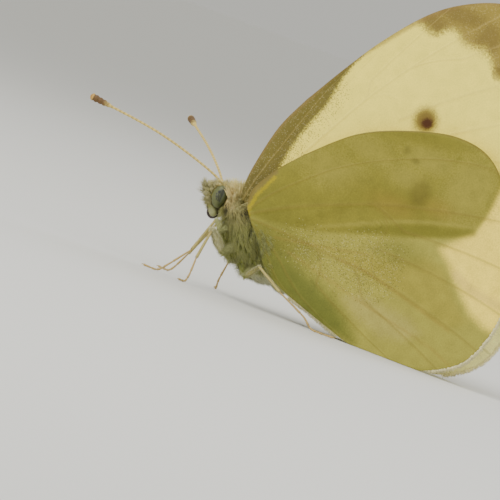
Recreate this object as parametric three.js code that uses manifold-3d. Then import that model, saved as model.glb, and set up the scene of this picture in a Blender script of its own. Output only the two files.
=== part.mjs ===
// A small white butterfly at rest with its wings closed over its back, at life size, in millimetres.
// It faces -X, its left side is towards -Y, +Z is up, and its feet and hindwings rest on Z = 0.
// Until the last step, places are measured from the floor point under the front feet.
import * as THREE from 'three';
import { mergeVertices } from 'three/addons/utils/BufferGeometryUtils.js';
import Module from 'manifold-3d';

const wasm = await Module();
wasm.setup();

// Driving dimensions, in millimetres.
const GAP = 0.3; // left between neighbouring pieces
const SHORTEST_EDGE = 0.03; // shorter ones, which cuts leave behind, are closed up
const LEFT = -1;
const RIGHT = 1;

// Thickness of the wings.
const MEMBRANE_HALF = 0.25;
const MARGIN_HALF = 0.15;
const VEIN_RAISE = 0.12;
const VEIN_FOOT = 0.26; // from a vein's crest to its foot
const MEMBRANE_STEP = 0.08; // widest stretch of outer margin without a column, as a share of it
// How far from the middle each wing stands, out in the blade and at its hinge.
const FOREWING = { blade: 0.52, hinge: 1.15, flare: 3.5 };
const HINDWING = { blade: 1.56, hinge: 2.25, flare: 4 };
// How far a hindwing bulges over the abdomen, whose axis falls from one height to the other along X.
const BULGE = { depth: 0.45, reach: 2.2, x: [9, 18], z: [3.3, 1.7], fade: [13, 19], blend: 0.35 };

// Body, along its own bent axis from the head to the tail.
const THORAX_HALF_WIDTH = 1.55;
const THORAX_HALF_HEIGHT = 2.0;
const ABDOMEN_RADIUS = 1.3;
const HEAD = { x: 3.4, z: 6.48, length: 0.84, width: 1.0, height: 0.98 };
const EYE = { x: 3.64, y: 0.86, z: 6.5, length: 0.58, width: 0.42, height: 0.84 };
const LOCK_SINK = 0.4; // how deep a lock's root sits in its node
const LOCK_TIP = 0.05;
const LEG_RADIUS = 0.25;
const ANTENNA_SHAFT = 0.25;
const ANTENNA_CLUB = 0.38;

const side2d = (x, z) => new THREE.Vector2(x, z);
const point = (x, y, z) => new THREE.Vector3(x, y, z);

// ---------------------------------------------------------------- closed meshes

/** Keeps only positions, shares equal corners and drops triangles that have no area. */
function closeUp(geometry) {
  const bare = geometry.clone();
  bare.deleteAttribute('normal');
  bare.deleteAttribute('uv');
  const merged = mergeVertices(bare, 1e-5);
  const corners = merged.index.array;
  const kept = [];
  for (let first = 0; first < corners.length; first += 3) {
    const [a, b, c] = corners.slice(first, first + 3);
    if (a !== b && b !== c && c !== a) kept.push(a, b, c);
  }
  merged.setIndex(kept);
  return facingOut(merged);
}

/** Turns every triangle round where the mesh encloses a negative volume. */
function facingOut(geometry) {
  const corners = geometry.index.array;
  const [a, b, c] = [new THREE.Vector3(), new THREE.Vector3(), new THREE.Vector3()];
  let volume = 0;
  for (let first = 0; first < corners.length; first += 3) {
    a.fromBufferAttribute(geometry.attributes.position, corners[first]);
    b.fromBufferAttribute(geometry.attributes.position, corners[first + 1]);
    c.fromBufferAttribute(geometry.attributes.position, corners[first + 2]);
    volume += a.dot(b.cross(c));
  }
  if (volume < 0) geometry.setIndex(Array.from(corners).reverse());
  return geometry;
}

/** Hands a closed mesh to the solid library, which joins and cuts it. */
function toSolid(geometry) {
  const closed = closeUp(geometry);
  return new wasm.Manifold(new wasm.Mesh({
    numProp: 3,
    vertProperties: new Float32Array(closed.attributes.position.array),
    triVerts: new Uint32Array(closed.index.array),
  }));
}

/** Takes a solid back as a mesh, with only its largest closed surface and without the tiniest edges. */
function toGeometry(solid) {
  const largest = solid.decompose().reduce((best, next) => (next.volume() > best.volume() ? next : best));
  const { vertProperties, triVerts } = largest.asOriginal().simplify(SHORTEST_EDGE).getMesh();
  const geometry = new THREE.BufferGeometry();
  geometry.setAttribute('position', new THREE.BufferAttribute(new Float32Array(vertProperties), 3));
  geometry.setIndex(Array.from(triVerts));
  return geometry;
}

/** One solid less others. */
const cutBy = (solid, cutters) => cutters.reduce((rest, cutter) => rest.subtract(cutter), solid);

/** One solid with others fused to it. */
const joinedTo = (solid, others) => others.reduce((whole, other) => whole.add(other), solid);

// ---------------------------------------------------------------- bent forms

/** A value at `t` from 0 to 1 along an even row of values, smoothly. */
function along(values, t) {
  const place = THREE.MathUtils.clamp(t, 0, 1) * (values.length - 1);
  const first = Math.min(Math.floor(place), values.length - 2);
  const share = THREE.MathUtils.smoothstep(place - first, 0, 1);
  return THREE.MathUtils.lerp(values[first], values[first + 1], share);
}

/**
 * A closed form that follows a path: a lathe's rings carried along it, square to it, with round ends.
 * widths and heights are half sizes at even steps of the path, `across` is the way that width points,
 * and `grow` makes the whole form larger all round.
 */
function bentForm({ path, widths, heights = widths, rings, sides, caps = [widths[0], widths.at(-1)],
  capTurns = [Math.PI / 7, Math.PI / 3.5], across = point(0, 1, 0), grow = 0, tension = 0.5 }) {
  const curve = new THREE.CatmullRomCurve3(path, false, 'catmullrom', tension);
  const length = curve.getLength();
  const [startCap, endCap] = caps.map((cap) => Math.max(cap + grow, 0.02));
  const stations = [];
  stations.push({ place: -grow, share: 0 });
  for (const turn of capTurns) {
    stations.push({ place: -grow + startCap * (1 - Math.cos(turn)), share: Math.sin(turn) });
  }
  const first = -grow + startCap;
  const last = length + grow - endCap;
  for (let ring = 0; ring <= rings; ring += 1) {
    stations.push({ place: THREE.MathUtils.lerp(first, last, ring / rings), share: 1 });
  }
  for (const turn of capTurns.toReversed()) {
    stations.push({ place: length + grow - endCap * (1 - Math.cos(turn)), share: Math.sin(turn) });
  }
  stations.push({ place: length + grow, share: 0 });

  const profile = stations.map((station, ring) => new THREE.Vector2(station.share, ring));
  const form = new THREE.LatheGeometry(profile, sides);
  let sideways = across.clone();
  for (const station of stations) {
    const t = THREE.MathUtils.clamp(station.place / length, 0, 1);
    const tangent = curve.getTangentAt(t);
    const beyond = station.place - t * length;
    sideways = sideways.addScaledVector(tangent, -sideways.dot(tangent)).normalize();
    station.centre = curve.getPointAt(t).addScaledVector(tangent, beyond);
    station.across = sideways.clone().multiplyScalar(along(widths, t) + grow);
    station.upward = tangent.cross(sideways).multiplyScalar(along(heights, t) + grow);
  }
  const places = form.attributes.position;
  for (let vertex = 0; vertex < places.count; vertex += 1) {
    const station = stations[Math.round(places.getY(vertex))];
    const placed = station.centre.clone()
      .addScaledVector(station.across, places.getX(vertex))
      .addScaledVector(station.upward, places.getZ(vertex));
    places.setXYZ(vertex, placed.x, placed.y, placed.z);
  }
  return closeUp(form);
}

/** A place on a bent form, `t` along it and `turn` round it from its top, and the ways out and along. */
function onForm({ path, widths, heights = widths }, t, turn) {
  const curve = new THREE.CatmullRomCurve3(path, false, 'catmullrom', 0.5);
  const tangent = curve.getTangentAt(t);
  const across = point(0, 1, 0);
  const upward = tangent.clone().cross(across).normalize();
  const [width, height] = [along(widths, t), along(heights, t)];
  return {
    place: curve.getPointAt(t).addScaledVector(across, width * Math.sin(turn))
      .addScaledVector(upward, height * Math.cos(turn)),
    out: across.clone().multiplyScalar(Math.sin(turn) / width)
      .addScaledVector(upward, Math.cos(turn) / height).normalize(),
    tangent,
  };
}

/** A place on a ball, `tip` down from its top and `turn` round from its front, and the ways out and up. */
function onEgg({ x, z, length, width, height }, tip, turn) {
  const way = point(-Math.sin(tip) * Math.cos(turn), Math.sin(tip) * Math.sin(turn), Math.cos(tip));
  return {
    place: point(x + length * way.x, width * way.y, z + height * way.z),
    out: point(way.x / length, way.y / width, way.z / height).normalize(),
    tangent: point(0, 0, 1),
  };
}

/** A ball stretched along the three axes, leaned about Y. */
function egg({ x, y = 0, z, length, width, height, lean = 0, columns = 14, rows = 10, grow = 0 }) {
  const ball = new THREE.SphereGeometry(1, columns, rows);
  ball.scale(length + grow, width + grow, height + grow);
  ball.rotateY(lean);
  ball.translate(x, y, z);
  return closeUp(ball);
}

/** Presses what lies under the floor up to it, so that a foot ends in a small flat. */
function restOnFloor(geometry) {
  const places = geometry.attributes.position;
  for (let vertex = 0; vertex < places.count; vertex += 1) {
    places.setZ(vertex, Math.max(places.getZ(vertex), 0));
  }
  return geometry;
}

// ---------------------------------------------------------------- locks of hair

/** Even random numbers from 0 to 1 that are the same on every run. */
function seeded(seed) {
  let state = seed;
  return () => {
    state = (state * 16807) % 2147483647;
    return state / 2147483647;
  };
}

/** A flat lock that stands `out` of a surface, then bends over along `lie` and tapers to its tip. */
function lockForm({ place, out, lie, length, half, thin }) {
  const sunk = place.clone().addScaledVector(out, -LOCK_SINK);
  const middle = place.clone().addScaledVector(out, length * 0.5).addScaledVector(lie, length * 0.12);
  const tip = place.clone().addScaledVector(out, length * 0.86).addScaledVector(lie, length * 0.5);
  const across = out.clone().cross(lie).normalize();
  return bentForm({
    path: [sunk, middle, tip],
    widths: [half * 0.8, half, half * 0.8, LOCK_TIP],
    heights: [thin, thin, thin * 0.8, LOCK_TIP],
    rings: 3,
    sides: 4,
    caps: [0.05, 0.12],
    capTurns: [],
    across,
  });
}

/**
 * Rows of locks on a surface. Each row has its place along the form, how far it spans round it in degrees,
 * its number of locks, their length and how far they lean along the form.
 */
function coat(rows, surface, { half, thin, seed }) {
  const random = seeded(seed);
  const vary = (share) => 1 + share * (2 * random() - 1);
  const lockAt = ({ t, span, count, length, lean }, row, index) => {
    const share = count > 1 ? index / (count - 1) : 0.5;
    const stagger = (row % 2 ? 0.25 : -0.25) / count;
    const turn = THREE.MathUtils.degToRad(span) * (2 * (share + stagger) - 1) * vary(0.05);
    const { place, out, tangent } = surface(t, turn);
    const sway = point(0, 0.5 * (random() - 0.5), 0);
    const lie = tangent.clone().multiplyScalar(Math.sign(lean)).add(sway);
    lie.addScaledVector(out, -lie.dot(out)).normalize();
    const leaned = out.clone().addScaledVector(lie, Math.abs(lean) * vary(0.3)).normalize();
    const sizes = { length: length * vary(0.18), half: half * vary(0.15), thin };
    return toSolid(lockForm({ place, out: leaned, lie, ...sizes }));
  };
  const rowOf = (line, row) => Array.from({ length: line.count }, (_, index) => lockAt(line, row, index));
  return rows.flatMap(rowOf);
}

// ---------------------------------------------------------------- wings

/**
 * A wing's outline in side view, as the four sides of one curved sheet: the hinge, the costal edge out from
 * its front, the inner margin out from its rear, and the long outer margin that joins the two.
 * Veins are listed from the front edge back. `at` gives a vein's share of the sheet's width at its start,
 * its middle and the outer margin, `from` is the length where it leaves its stem, and `stem` says on which
 * side of it that stem lies.
 */
const FORE_OUTLINE = {
  hingeFront: side2d(5.25, 6.95),
  hingeRear: side2d(6.95, 6.1),
  costal: [side2d(5.2, 9.0), side2d(5.9, 12.5)],
  inner: [side2d(11.0, 6.6), side2d(15.5, 7.9)],
  outer: [side2d(7.2, 15.2), side2d(11.0, 20.9), side2d(14.9, 24.8), side2d(19.6, 26.4), side2d(22.2, 24.0),
    side2d(23.2, 18.0), side2d(23.1, 13.0), side2d(22.2, 10.4), side2d(19.5, 9.1)],
};
const FORE_VEINS = [
  { name: 'Sc', at: [0.14, 0.15, 0.15], from: 0 },
  { name: 'R1', at: [0.3, 0.25, 0.22], from: 0.36, stem: 'next' },
  { name: 'R2', at: [0.33, 0.34, 0.33], from: 0.5, stem: 'next' },
  { name: 'R4+5', at: [0.36, 0.39, 0.46], from: 0 },
  { name: 'M1', at: [0.4, 0.44, 0.525], from: 0.66, stem: 'previous' },
  { name: 'M2', at: [0.5, 0.53, 0.605], from: 0.53 },
  { name: 'M3', at: [0.63, 0.63, 0.687], from: 0 },
  { name: 'CuA1', at: [0.66, 0.69, 0.768], from: 0.43, stem: 'previous' },
  { name: 'CuA2', at: [0.7, 0.77, 0.845], from: 0.28, stem: 'previous' },
  { name: '2A', at: [0.85, 0.9, 0.93], from: 0 },
];
const HIND_OUTLINE = {
  hingeFront: side2d(6.35, 6.6),
  hingeRear: side2d(7.3, 5.4),
  costal: [side2d(6.3, 7.9), side2d(7.4, 9.8)],
  inner: [side2d(8.2, 4.35), side2d(9.2, 2.9), side2d(10.8, 1.95)],
  outer: [side2d(8.9, 11.5), side2d(12.0, 14.1), side2d(15.5, 15.6), side2d(19.2, 16.4), side2d(22.2, 15.7),
    side2d(24.6, 12.9), side2d(26.2, 9.2), side2d(26.75, 5.6), side2d(25.5, 1.9), side2d(22.6, 0.08),
    side2d(20.0, -0.16), side2d(17.4, -0.08), side2d(15.3, 0.5), side2d(13.0, 1.3)],
};
const HIND_VEINS = [
  { name: 'Sc+R1', at: [0.2, 0.22, 0.36], from: 0 },
  { name: 'Rs', at: [0.38, 0.4, 0.45], from: 0 },
  { name: 'M1', at: [0.42, 0.46, 0.53], from: 0.5, stem: 'previous' },
  { name: 'M2', at: [0.5, 0.53, 0.6], from: 0.53 },
  { name: 'M3', at: [0.6, 0.61, 0.67], from: 0 },
  { name: 'CuA1', at: [0.63, 0.68, 0.745], from: 0.43, stem: 'previous' },
  { name: 'CuA2', at: [0.68, 0.76, 0.82], from: 0.28, stem: 'previous' },
  { name: '2A', at: [0.8, 0.87, 0.9], from: 0 },
  { name: '3A', at: [0.91, 0.95, 0.965], from: 0 },
];
const CELL = { front: ['R4+5', 'Rs'], rear: 'M3', end: 0.53 };
const WING_ROWS = [0, 0.08, 0.18, 0.28, 0.36, 0.43, 0.5, 0.53, 0.56, 0.66, 0.78, 0.9, 1];

/** Returns a function that gives the side-view place of a share of the sheet's width and length. */
function wingPlan({ hingeFront, hingeRear, costal, inner, outer }) {
  const margin = new THREE.SplineCurve(outer);
  const front = new THREE.SplineCurve([hingeFront, ...costal, outer[0]]);
  const rear = new THREE.SplineCurve([hingeRear, ...inner, outer.at(-1)]);
  return (width, length) => {
    const hinge = hingeFront.clone().lerp(hingeRear, width);
    const edge = margin.getPointAt(width);
    const place = hinge.clone().lerp(edge, length);
    place.add(front.getPointAt(length).lerp(rear.getPointAt(length), width));
    const straightFront = hingeFront.clone().lerp(outer[0], length);
    const straightRear = hingeRear.clone().lerp(outer.at(-1), length);
    return place.sub(straightFront.lerp(straightRear, width));
  };
}

/** How far a forewing's middle surface stands from the body's middle. */
function foreStand(place) {
  const reach = place.distanceTo(FORE_OUTLINE.hingeFront.clone().lerp(FORE_OUTLINE.hingeRear, 0.5));
  return FOREWING.blade + (FOREWING.hinge - FOREWING.blade) * Math.exp(-((reach / FOREWING.flare) ** 2));
}

/** The same for a hindwing, which also bulges out over the abdomen. */
function hindStand(place) {
  const reach = place.distanceTo(HIND_OUTLINE.hingeFront.clone().lerp(HIND_OUTLINE.hingeRear, 0.5));
  const flare = (HINDWING.hinge - HINDWING.blade) * Math.exp(-((reach / HINDWING.flare) ** 2));
  const abdomenHeight = THREE.MathUtils.lerp(...BULGE.z, THREE.MathUtils.smoothstep(place.x, ...BULGE.x));
  const nearAbdomen = Math.exp(-(((place.y - abdomenHeight) / BULGE.reach) ** 2));
  const bulge = BULGE.depth * nearAbdomen * (1 - THREE.MathUtils.smoothstep(place.x, ...BULGE.fade));
  return HINDWING.blade + Math.max(flare, bulge) + BULGE.blend * Math.min(flare, bulge);
}

/** How many columns of membrane lie before each vein and after the last, by their room at the margin. */
function membraneCounts(veins) {
  const ends = [0, ...veins.map(({ at }) => at[2]), 1];
  return ends.slice(1).map((end, index) => Math.max(1, Math.ceil((end - ends[index]) / MEMBRANE_STEP) - 1));
}

/** Even columns of membrane between two others, raised only where both of them are. */
const membraneBetween = (before, next, count) => Array.from({ length: count }, (_, index) => ({
  width: THREE.MathUtils.lerp(before.width, next.width, (index + 1) / (count + 1)),
  raise: Math.min(before.raise ?? 0, next.raise ?? 0),
}));

/**
 * The columns of a wing's sheet at one row: the two edges, each vein's front foot, crest and rear foot, and
 * the membrane's own columns between them. A vein that hasn't left its stem is folded onto the stem's foot.
 */
function wingColumns(veins, plan, row) {
  const length = WING_ROWS[row];
  const rowWidth = plan(0.1, length).distanceTo(plan(0.9, length)) / 0.8;
  const foot = Math.min(VEIN_FOOT / rowWidth, 0.02);
  const crests = veins.map(({ at }) => {
    const [start, middle, end] = at;
    return length < 0.5
      ? THREE.MathUtils.lerp(start, middle, length / 0.5)
      : THREE.MathUtils.lerp(middle, end, (length - 0.5) / 0.5);
  });
  const raise = VEIN_RAISE * THREE.MathUtils.lerp(1, 0.6, length);
  const isOpen = veins.map(({ from }) => length > from);
  const groups = veins.map((vein, index) => {
    const crest = crests[index];
    if (isOpen[index]) {
      return [{ width: crest - foot }, { width: crest, raise }, { width: crest + foot }];
    }
    let folded = crest;
    if (vein.stem && length > 0) {
      const step = vein.stem === 'next' ? 1 : -1;
      let stem = index + step;
      while (!isOpen[stem]) stem += step;
      folded = crests[stem] - step * foot;
    }
    return [{ width: folded }, { width: folded }, { width: folded }];
  });
  const columns = groups.flat();
  if (length === CELL.end) {
    const front = 3 * veins.findIndex(({ name }) => CELL.front.includes(name)) + 1;
    const rear = 3 * veins.findIndex(({ name }) => name === CELL.rear) + 1;
    for (let column = front; column <= rear; column += 1) columns[column].raise = raise;
  }
  const counts = membraneCounts(veins);
  const spread = [{ width: 0, edge: true }];
  [...columns, { width: 1, edge: true }].forEach((column, index) => {
    if (index % 3 === 0) spread.push(...membraneBetween(spread.at(-1), column, counts[index / 3]));
    spread.push(column);
  });
  return spread;
}

/** A wing as one closed sheet with its veins raised in both faces, split alike on both. */
function wingForm({ outline, veins, stand, side, grow = 0 }) {
  const plan = wingPlan(outline);
  const rows = WING_ROWS.length - 1;
  const columns = wingColumns(veins, plan, 0).length - 1;
  const sheet = new THREE.PlaneGeometry(1, 1, columns, rows);
  const across = columns + 1;
  const corners = sheet.index.array;
  const outside = [];
  const inside = [];
  for (let row = 0; row <= rows; row += 1) {
    for (const { width, raise = 0, edge = false } of wingColumns(veins, plan, row)) {
      const place = plan(width, WING_ROWS[row]);
      const away = stand(place);
      const isMargin = edge || row === rows;
      const half = (isMargin ? MARGIN_HALF : MEMBRANE_HALF) + (isMargin ? 0 : raise) + grow;
      outside.push(place.x, side * (away + half), Math.max(place.y, 0));
      inside.push(place.x, side * (away - half), Math.max(place.y, 0));
    }
  }
  const faceSize = across * (rows + 1);
  const triangles = Array.from(corners);
  for (let first = 0; first < corners.length; first += 3) {
    triangles.push(corners[first + 2] + faceSize, corners[first + 1] + faceSize, corners[first] + faceSize);
  }
  const rim = [];
  for (let column = 0; column < columns; column += 1) rim.push(column);
  for (let row = 0; row < rows; row += 1) rim.push(row * across + columns);
  for (let column = columns; column > 0; column -= 1) rim.push(rows * across + column);
  for (let row = rows; row > 0; row -= 1) rim.push(row * across);
  rim.forEach((here, index) => {
    const next = rim[(index + 1) % rim.length];
    triangles.push(here, next, next + faceSize, here, next + faceSize, here + faceSize);
  });
  const wing = new THREE.BufferGeometry();
  wing.setAttribute('position', new THREE.Float32BufferAttribute([...outside, ...inside], 3));
  wing.setIndex(triangles);
  return closeUp(wing);
}

const FORE = { outline: FORE_OUTLINE, veins: FORE_VEINS, stand: foreStand };
const HIND = { outline: HIND_OUTLINE, veins: HIND_VEINS, stand: hindStand };
const forewing = (side, grow) => wingForm({ ...FORE, side, grow });
const hindwing = (side, grow) => wingForm({ ...HIND, side, grow });

// ---------------------------------------------------------------- head

const headForm = (grow) => egg({ ...HEAD, grow });

/** The crest on the head's top and the bristles of its face: places are tips in degrees from the top. */
const CREST = [
  { t: 36, span: 44, count: 5, length: 0.6, lean: 0.4 },
  { t: 62, span: 38, count: 5, length: 0.55, lean: 0.5 },
  { t: 90, span: 34, count: 4, length: 0.5, lean: 0.4 },
];
const NAPE = [{ t: 30, span: 60, count: 5, length: 0.7, lean: 0.3 }];
const HEAD_LOCK = { half: 0.27, thin: 0.2 };
const onHead = (tip, turn) => onEgg(HEAD, THREE.MathUtils.degToRad(tip), turn);
const headCoat = () => [
  ...coat(CREST, onHead, { ...HEAD_LOCK, seed: 11 }),
  ...coat(NAPE, (tip, turn) => onHead(tip, Math.PI + turn), { ...HEAD_LOCK, seed: 12 }),
];
const eyeForm = (side, grow) => egg({ ...EYE, y: side * EYE.y, grow });

/** The head with its crest, which leaves room for the antennae, and with a shallow socket round each eye. */
function headSolid(cutters, grownAntennae) {
  const sockets = [LEFT, RIGHT].map((side) => toSolid(eyeForm(side, GAP * 0.7)));
  const crest = headCoat().map((lock) => cutBy(lock, grownAntennae));
  return cutBy(joinedTo(toSolid(headForm()), crest), [...sockets, ...cutters]);
}

/** Each antenna's bend and tip. Both leave the head on the same rising root, one on each side. */
const ANTENNA_WAYS = {
  left: [point(-1.6, -2.5, 9.25), point(-6.9, -4.5, 10.1)],
  right: [point(0.3, 2.9, 9.3), point(-3.9, 8.0, 10.85)],
};
const ANTENNA_ROOT = [{ x: 3.0, y: 0.42, z: 6.9 }, { x: 2.75, y: 0.55, z: 7.75 }];
const ANTENNA_STEPS = 10; // of even shaft before the club

/** A feeler: a thin shaft that ends in a club. */
function antennaForm(side, bend, tip, grow) {
  const shaft = Array(ANTENNA_STEPS).fill(ANTENNA_SHAFT);
  return bentForm({
    path: [...ANTENNA_ROOT.map(({ x, y, z }) => point(x, side * y, z)), bend, tip],
    widths: [...shaft, ANTENNA_CLUB, ANTENNA_CLUB * 0.9],
    rings: 14,
    sides: 6,
    caps: [0.2, 0.35],
    grow,
  });
}

/** A palp: it curves up in front of the face, with bristles along its front. */
const PALP = {
  path: [point(3.3, 0, 5.45), point(2.65, 0, 5.5), point(2.2, 0, 6.35), point(1.85, 0, 7.2)],
  widths: [0.28, 0.28, 0.26, 0.14],
  heights: [0.34, 0.36, 0.28, 0.12],
  rings: 6,
  sides: 8,
  caps: [0.2, 0.12],
};
const BRISTLES = [
  { t: 0.48, span: 0, count: 1, length: 0.45, lean: 0.8 },
  { t: 0.7, span: 40, count: 2, length: 0.5, lean: 1.0 },
  { t: 0.9, span: 0, count: 1, length: 0.5, lean: 1.3 },
];
const BRISTLE = { half: 0.18, thin: 0.13, seed: 21 };
const PALP_SPREAD = 0.46; // from the middle

/** The right palp, kept clear of the middle. The left one is its mirror image. */
function palpSolid(cutters) {
  const bristles = coat(BRISTLES, (t, turn) => onForm(PALP, t, turn), BRISTLE);
  const palp = joinedTo(toSolid(bentForm(PALP)), bristles).translate([0, PALP_SPREAD, 0]);
  const between = new THREE.BoxGeometry(2 * HEAD.z, GAP, 2 * HEAD.z);
  between.translate(HEAD.x, 0, HEAD.z);
  return cutBy(palp, [toSolid(between), ...cutters]);
}

/** The proboscis, rolled up in one flat coil between the palps' roots. Its turns are in degrees. */
const PROBOSCIS = { x: 3.25, z: 5.0, outer: 0.46, inner: 0.12, from: 60, turned: 500, steps: 14 };

function proboscisForm(grow) {
  const path = Array.from({ length: PROBOSCIS.steps + 1 }, (_, step) => {
    const share = step / PROBOSCIS.steps;
    const turn = THREE.MathUtils.degToRad(PROBOSCIS.from + PROBOSCIS.turned * share);
    const reach = THREE.MathUtils.lerp(PROBOSCIS.outer, PROBOSCIS.inner, share);
    return point(PROBOSCIS.x + reach * Math.cos(turn), 0, PROBOSCIS.z + reach * Math.sin(turn));
  });
  return bentForm({
    path,
    widths: [0.22, 0.2, 0.18],
    heights: [0.12, 0.11, 0.09],
    rings: 22,
    sides: 6,
    caps: [0.1, 0.08],
    grow,
  });
}

// ---------------------------------------------------------------- thorax, abdomen and legs

const THORAX_PATH = [point(4.2, 0, 6.95), point(5.35, 0, 5.8), point(6.6, 0, 4.65), point(8.0, 0, 3.55),
  point(9.6, 0, 2.9)];
const ABDOMEN_PATH = [point(8.3, 0, 3.3), point(11.0, 0, 2.75), point(14.5, 0, 2.2), point(18.4, 0, 1.75)];
const WAIST = { x: 9.0, z: 3.4, lean: 0.32 };

const THORAX = {
  path: THORAX_PATH,
  widths: [1.0, THORAX_HALF_WIDTH, THORAX_HALF_WIDTH, 1.4, 1.1],
  heights: [0.95, 1.4, THORAX_HALF_HEIGHT, 1.85, 1.4],
  rings: 8,
  sides: 16,
  caps: [0.5, 0.5],
};
const thoraxForm = (grow) => bentForm({ ...THORAX, grow });

/** The ruff: rows of erect hair over the front of the thorax, and short tufts between the legs. */
const RUFF = [
  { t: 0.06, span: 105, count: 9, length: 0.75, lean: -0.15 },
  { t: 0.14, span: 100, count: 9, length: 0.85, lean: 0.15 },
  { t: 0.23, span: 88, count: 8, length: 0.9, lean: 0.4 },
  { t: 0.33, span: 62, count: 6, length: 0.85, lean: 0.6 },
  { t: 0.45, span: 30, count: 3, length: 0.7, lean: 0.8 },
];
const BREAST = [
  { t: 0.22, span: 28, count: 3, length: 0.45, lean: 0.8 },
  { t: 0.36, span: 30, count: 3, length: 0.5, lean: 0.8 },
  { t: 0.5, span: 30, count: 3, length: 0.5, lean: 0.8 },
  { t: 0.64, span: 30, count: 3, length: 0.45, lean: 0.8 },
];
const thoraxCoat = () => [
  ...coat(RUFF, (t, turn) => onForm(THORAX, t, turn), { half: 0.33, thin: 0.22, seed: 31 }),
  ...coat(BREAST, (t, turn) => onForm(THORAX, t, Math.PI + turn), { half: 0.3, thin: 0.2, seed: 32 }),
];

const abdomenForm = () => bentForm({
  path: ABDOMEN_PATH,
  widths: [1.1, ABDOMEN_RADIUS * 0.98, ABDOMEN_RADIUS * 0.85, 0.42],
  heights: [1.35, ABDOMEN_RADIUS, ABDOMEN_RADIUS * 0.9, 0.5],
  rings: 10,
  sides: 12,
  caps: [0.5, 0.4],
});

/** A block that takes away everything before or behind the waist. */
function waistBlock(before) {
  const size = 12;
  const block = new THREE.BoxGeometry(size, size, size);
  block.translate((before ? -1 : 1) * (size / 2 - GAP / 2), 0, 0);
  block.rotateY(WAIST.lean);
  block.translate(WAIST.x, 0, WAIST.z);
  return toSolid(block);
}

/** Each leg's joints from the hip to the toe, on either side, and its half thickness at them. */
const LEGS = {
  fore: {
    left: [point(5.4, -0.7, 5.0), point(4.9, -1.75, 4.25), point(4.35, -1.8, 4.95), point(3.52, -2.2, 2.28),
      point(2.37, -2.6, 0.72), point(1.8, -2.75, 0.26), point(0.78, -3.0, 0.22)],
    right: [point(5.2, 0.7, 5.0), point(4.2, 1.7, 4.1), point(3.3, 1.75, 4.75), point(1.75, 2.2, 1.75),
      point(0.95, 2.6, 0.5), point(0.5, 2.8, 0.24), point(-0.4, 3.1, 0.22)],
    widths: [0.4, 0.34, 0.28, LEG_RADIUS, LEG_RADIUS, LEG_RADIUS, LEG_RADIUS],
  },
  mid: {
    left: [point(6.4, -0.6, 4.0), point(5.5, -1.6, 2.9), point(4.6, -2.5, 4.2), point(4.45, -3.2, 1.9),
      point(4.55, -3.6, 0.7), point(4.5, -3.9, 0.26), point(4.3, -4.6, 0.22)],
    right: [point(6.4, 0.6, 4.0), point(5.7, 1.7, 2.9), point(5.1, 2.4, 3.9), point(4.6, 2.9, 2.1),
      point(4.2, 3.4, 0.8), point(4.1, 3.7, 0.26), point(3.8, 4.3, 0.22)],
    widths: [0.42, 0.45, 0.34, LEG_RADIUS, LEG_RADIUS, LEG_RADIUS, LEG_RADIUS],
  },
  hind: {
    left: [point(8.0, -0.6, 3.2), point(7.9, -1.7, 1.9), point(9.2, -3.2, 2.9), point(11.3, -3.25, 1.75),
      point(13.6, -3.3, 0.75), point(14.5, -3.35, 0.28), point(16.3, -3.5, 0.22)],
    right: [point(8.0, 0.6, 3.2), point(7.9, 1.7, 1.9), point(9.0, 3.2, 2.8), point(11.0, 3.3, 1.6),
      point(13.0, 3.5, 0.7), point(13.8, 3.6, 0.28), point(15.4, 3.9, 0.22)],
    widths: [0.42, 0.42, 0.32, LEG_RADIUS, LEG_RADIUS, LEG_RADIUS, LEG_RADIUS],
  },
};

const legForm = (pair, side, grow) => bentForm({
  path: side === LEFT ? LEGS[pair].left : LEGS[pair].right,
  widths: LEGS[pair].widths,
  rings: 17,
  sides: 6,
  caps: [0.3, 0.12],
  tension: 0.35,
  grow,
});

/** A leg, or with `grow` the room that its neighbours leave it, from just outside the thorax. */
function legSolid(pair, side, grow = 0) {
  return cutBy(toSolid(legForm(pair, side, grow)), [toSolid(thoraxForm(GAP - grow))]);
}

// ---------------------------------------------------------------- assembly

const finish = (color, roughness) => new THREE.MeshStandardMaterial({ color, roughness, metalness: 0 });
const FINISHES = {
  forewing: finish(0xdcd3a0, 0.75),
  hindwing: finish(0xb5ab62, 0.75),
  hair: finish(0x8a8c5a, 0.9),
  face: finish(0x9c976c, 0.9),
  eye: finish(0x7f8f66, 0.25),
  horn: finish(0xb59a6a, 0.5),
  proboscis: finish(0x2a1c14, 0.45),
  leg: finish(0xc7ab72, 0.6),
};

const butterfly = new THREE.Group();
butterfly.name = 'small_white_butterfly';

/** Adds a node, its geometry measured from its own root. */
function addNode(name, geometry, material, root) {
  geometry.translate(-root.x, -root.y, -root.z);
  const mesh = new THREE.Mesh(geometry, material);
  mesh.name = name;
  mesh.position.copy(root);
  butterfly.add(mesh);
}

const SIDES = [['left', LEFT], ['right', RIGHT]];
const grownHead = toSolid(headForm(GAP));
const grownThorax = toSolid(thoraxForm(GAP));
const grownWings = SIDES.flatMap(([, side]) => [forewing(side, GAP), hindwing(side, GAP)]).map(toSolid);
const grownProboscis = toSolid(proboscisForm(GAP));
const grownEyes = SIDES.map(([, side]) => toSolid(eyeForm(side, GAP)));
const grownLegs = SIDES.flatMap(([, side]) => Object.keys(LEGS).map((pair) => legSolid(pair, side, GAP)));
const grownAntennae = SIDES.map(([word, side]) => toSolid(antennaForm(side, ...ANTENNA_WAYS[word], GAP)));
const roundThorax = [grownHead, ...grownEyes, ...grownWings, ...grownLegs, waistBlock(false)];

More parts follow.
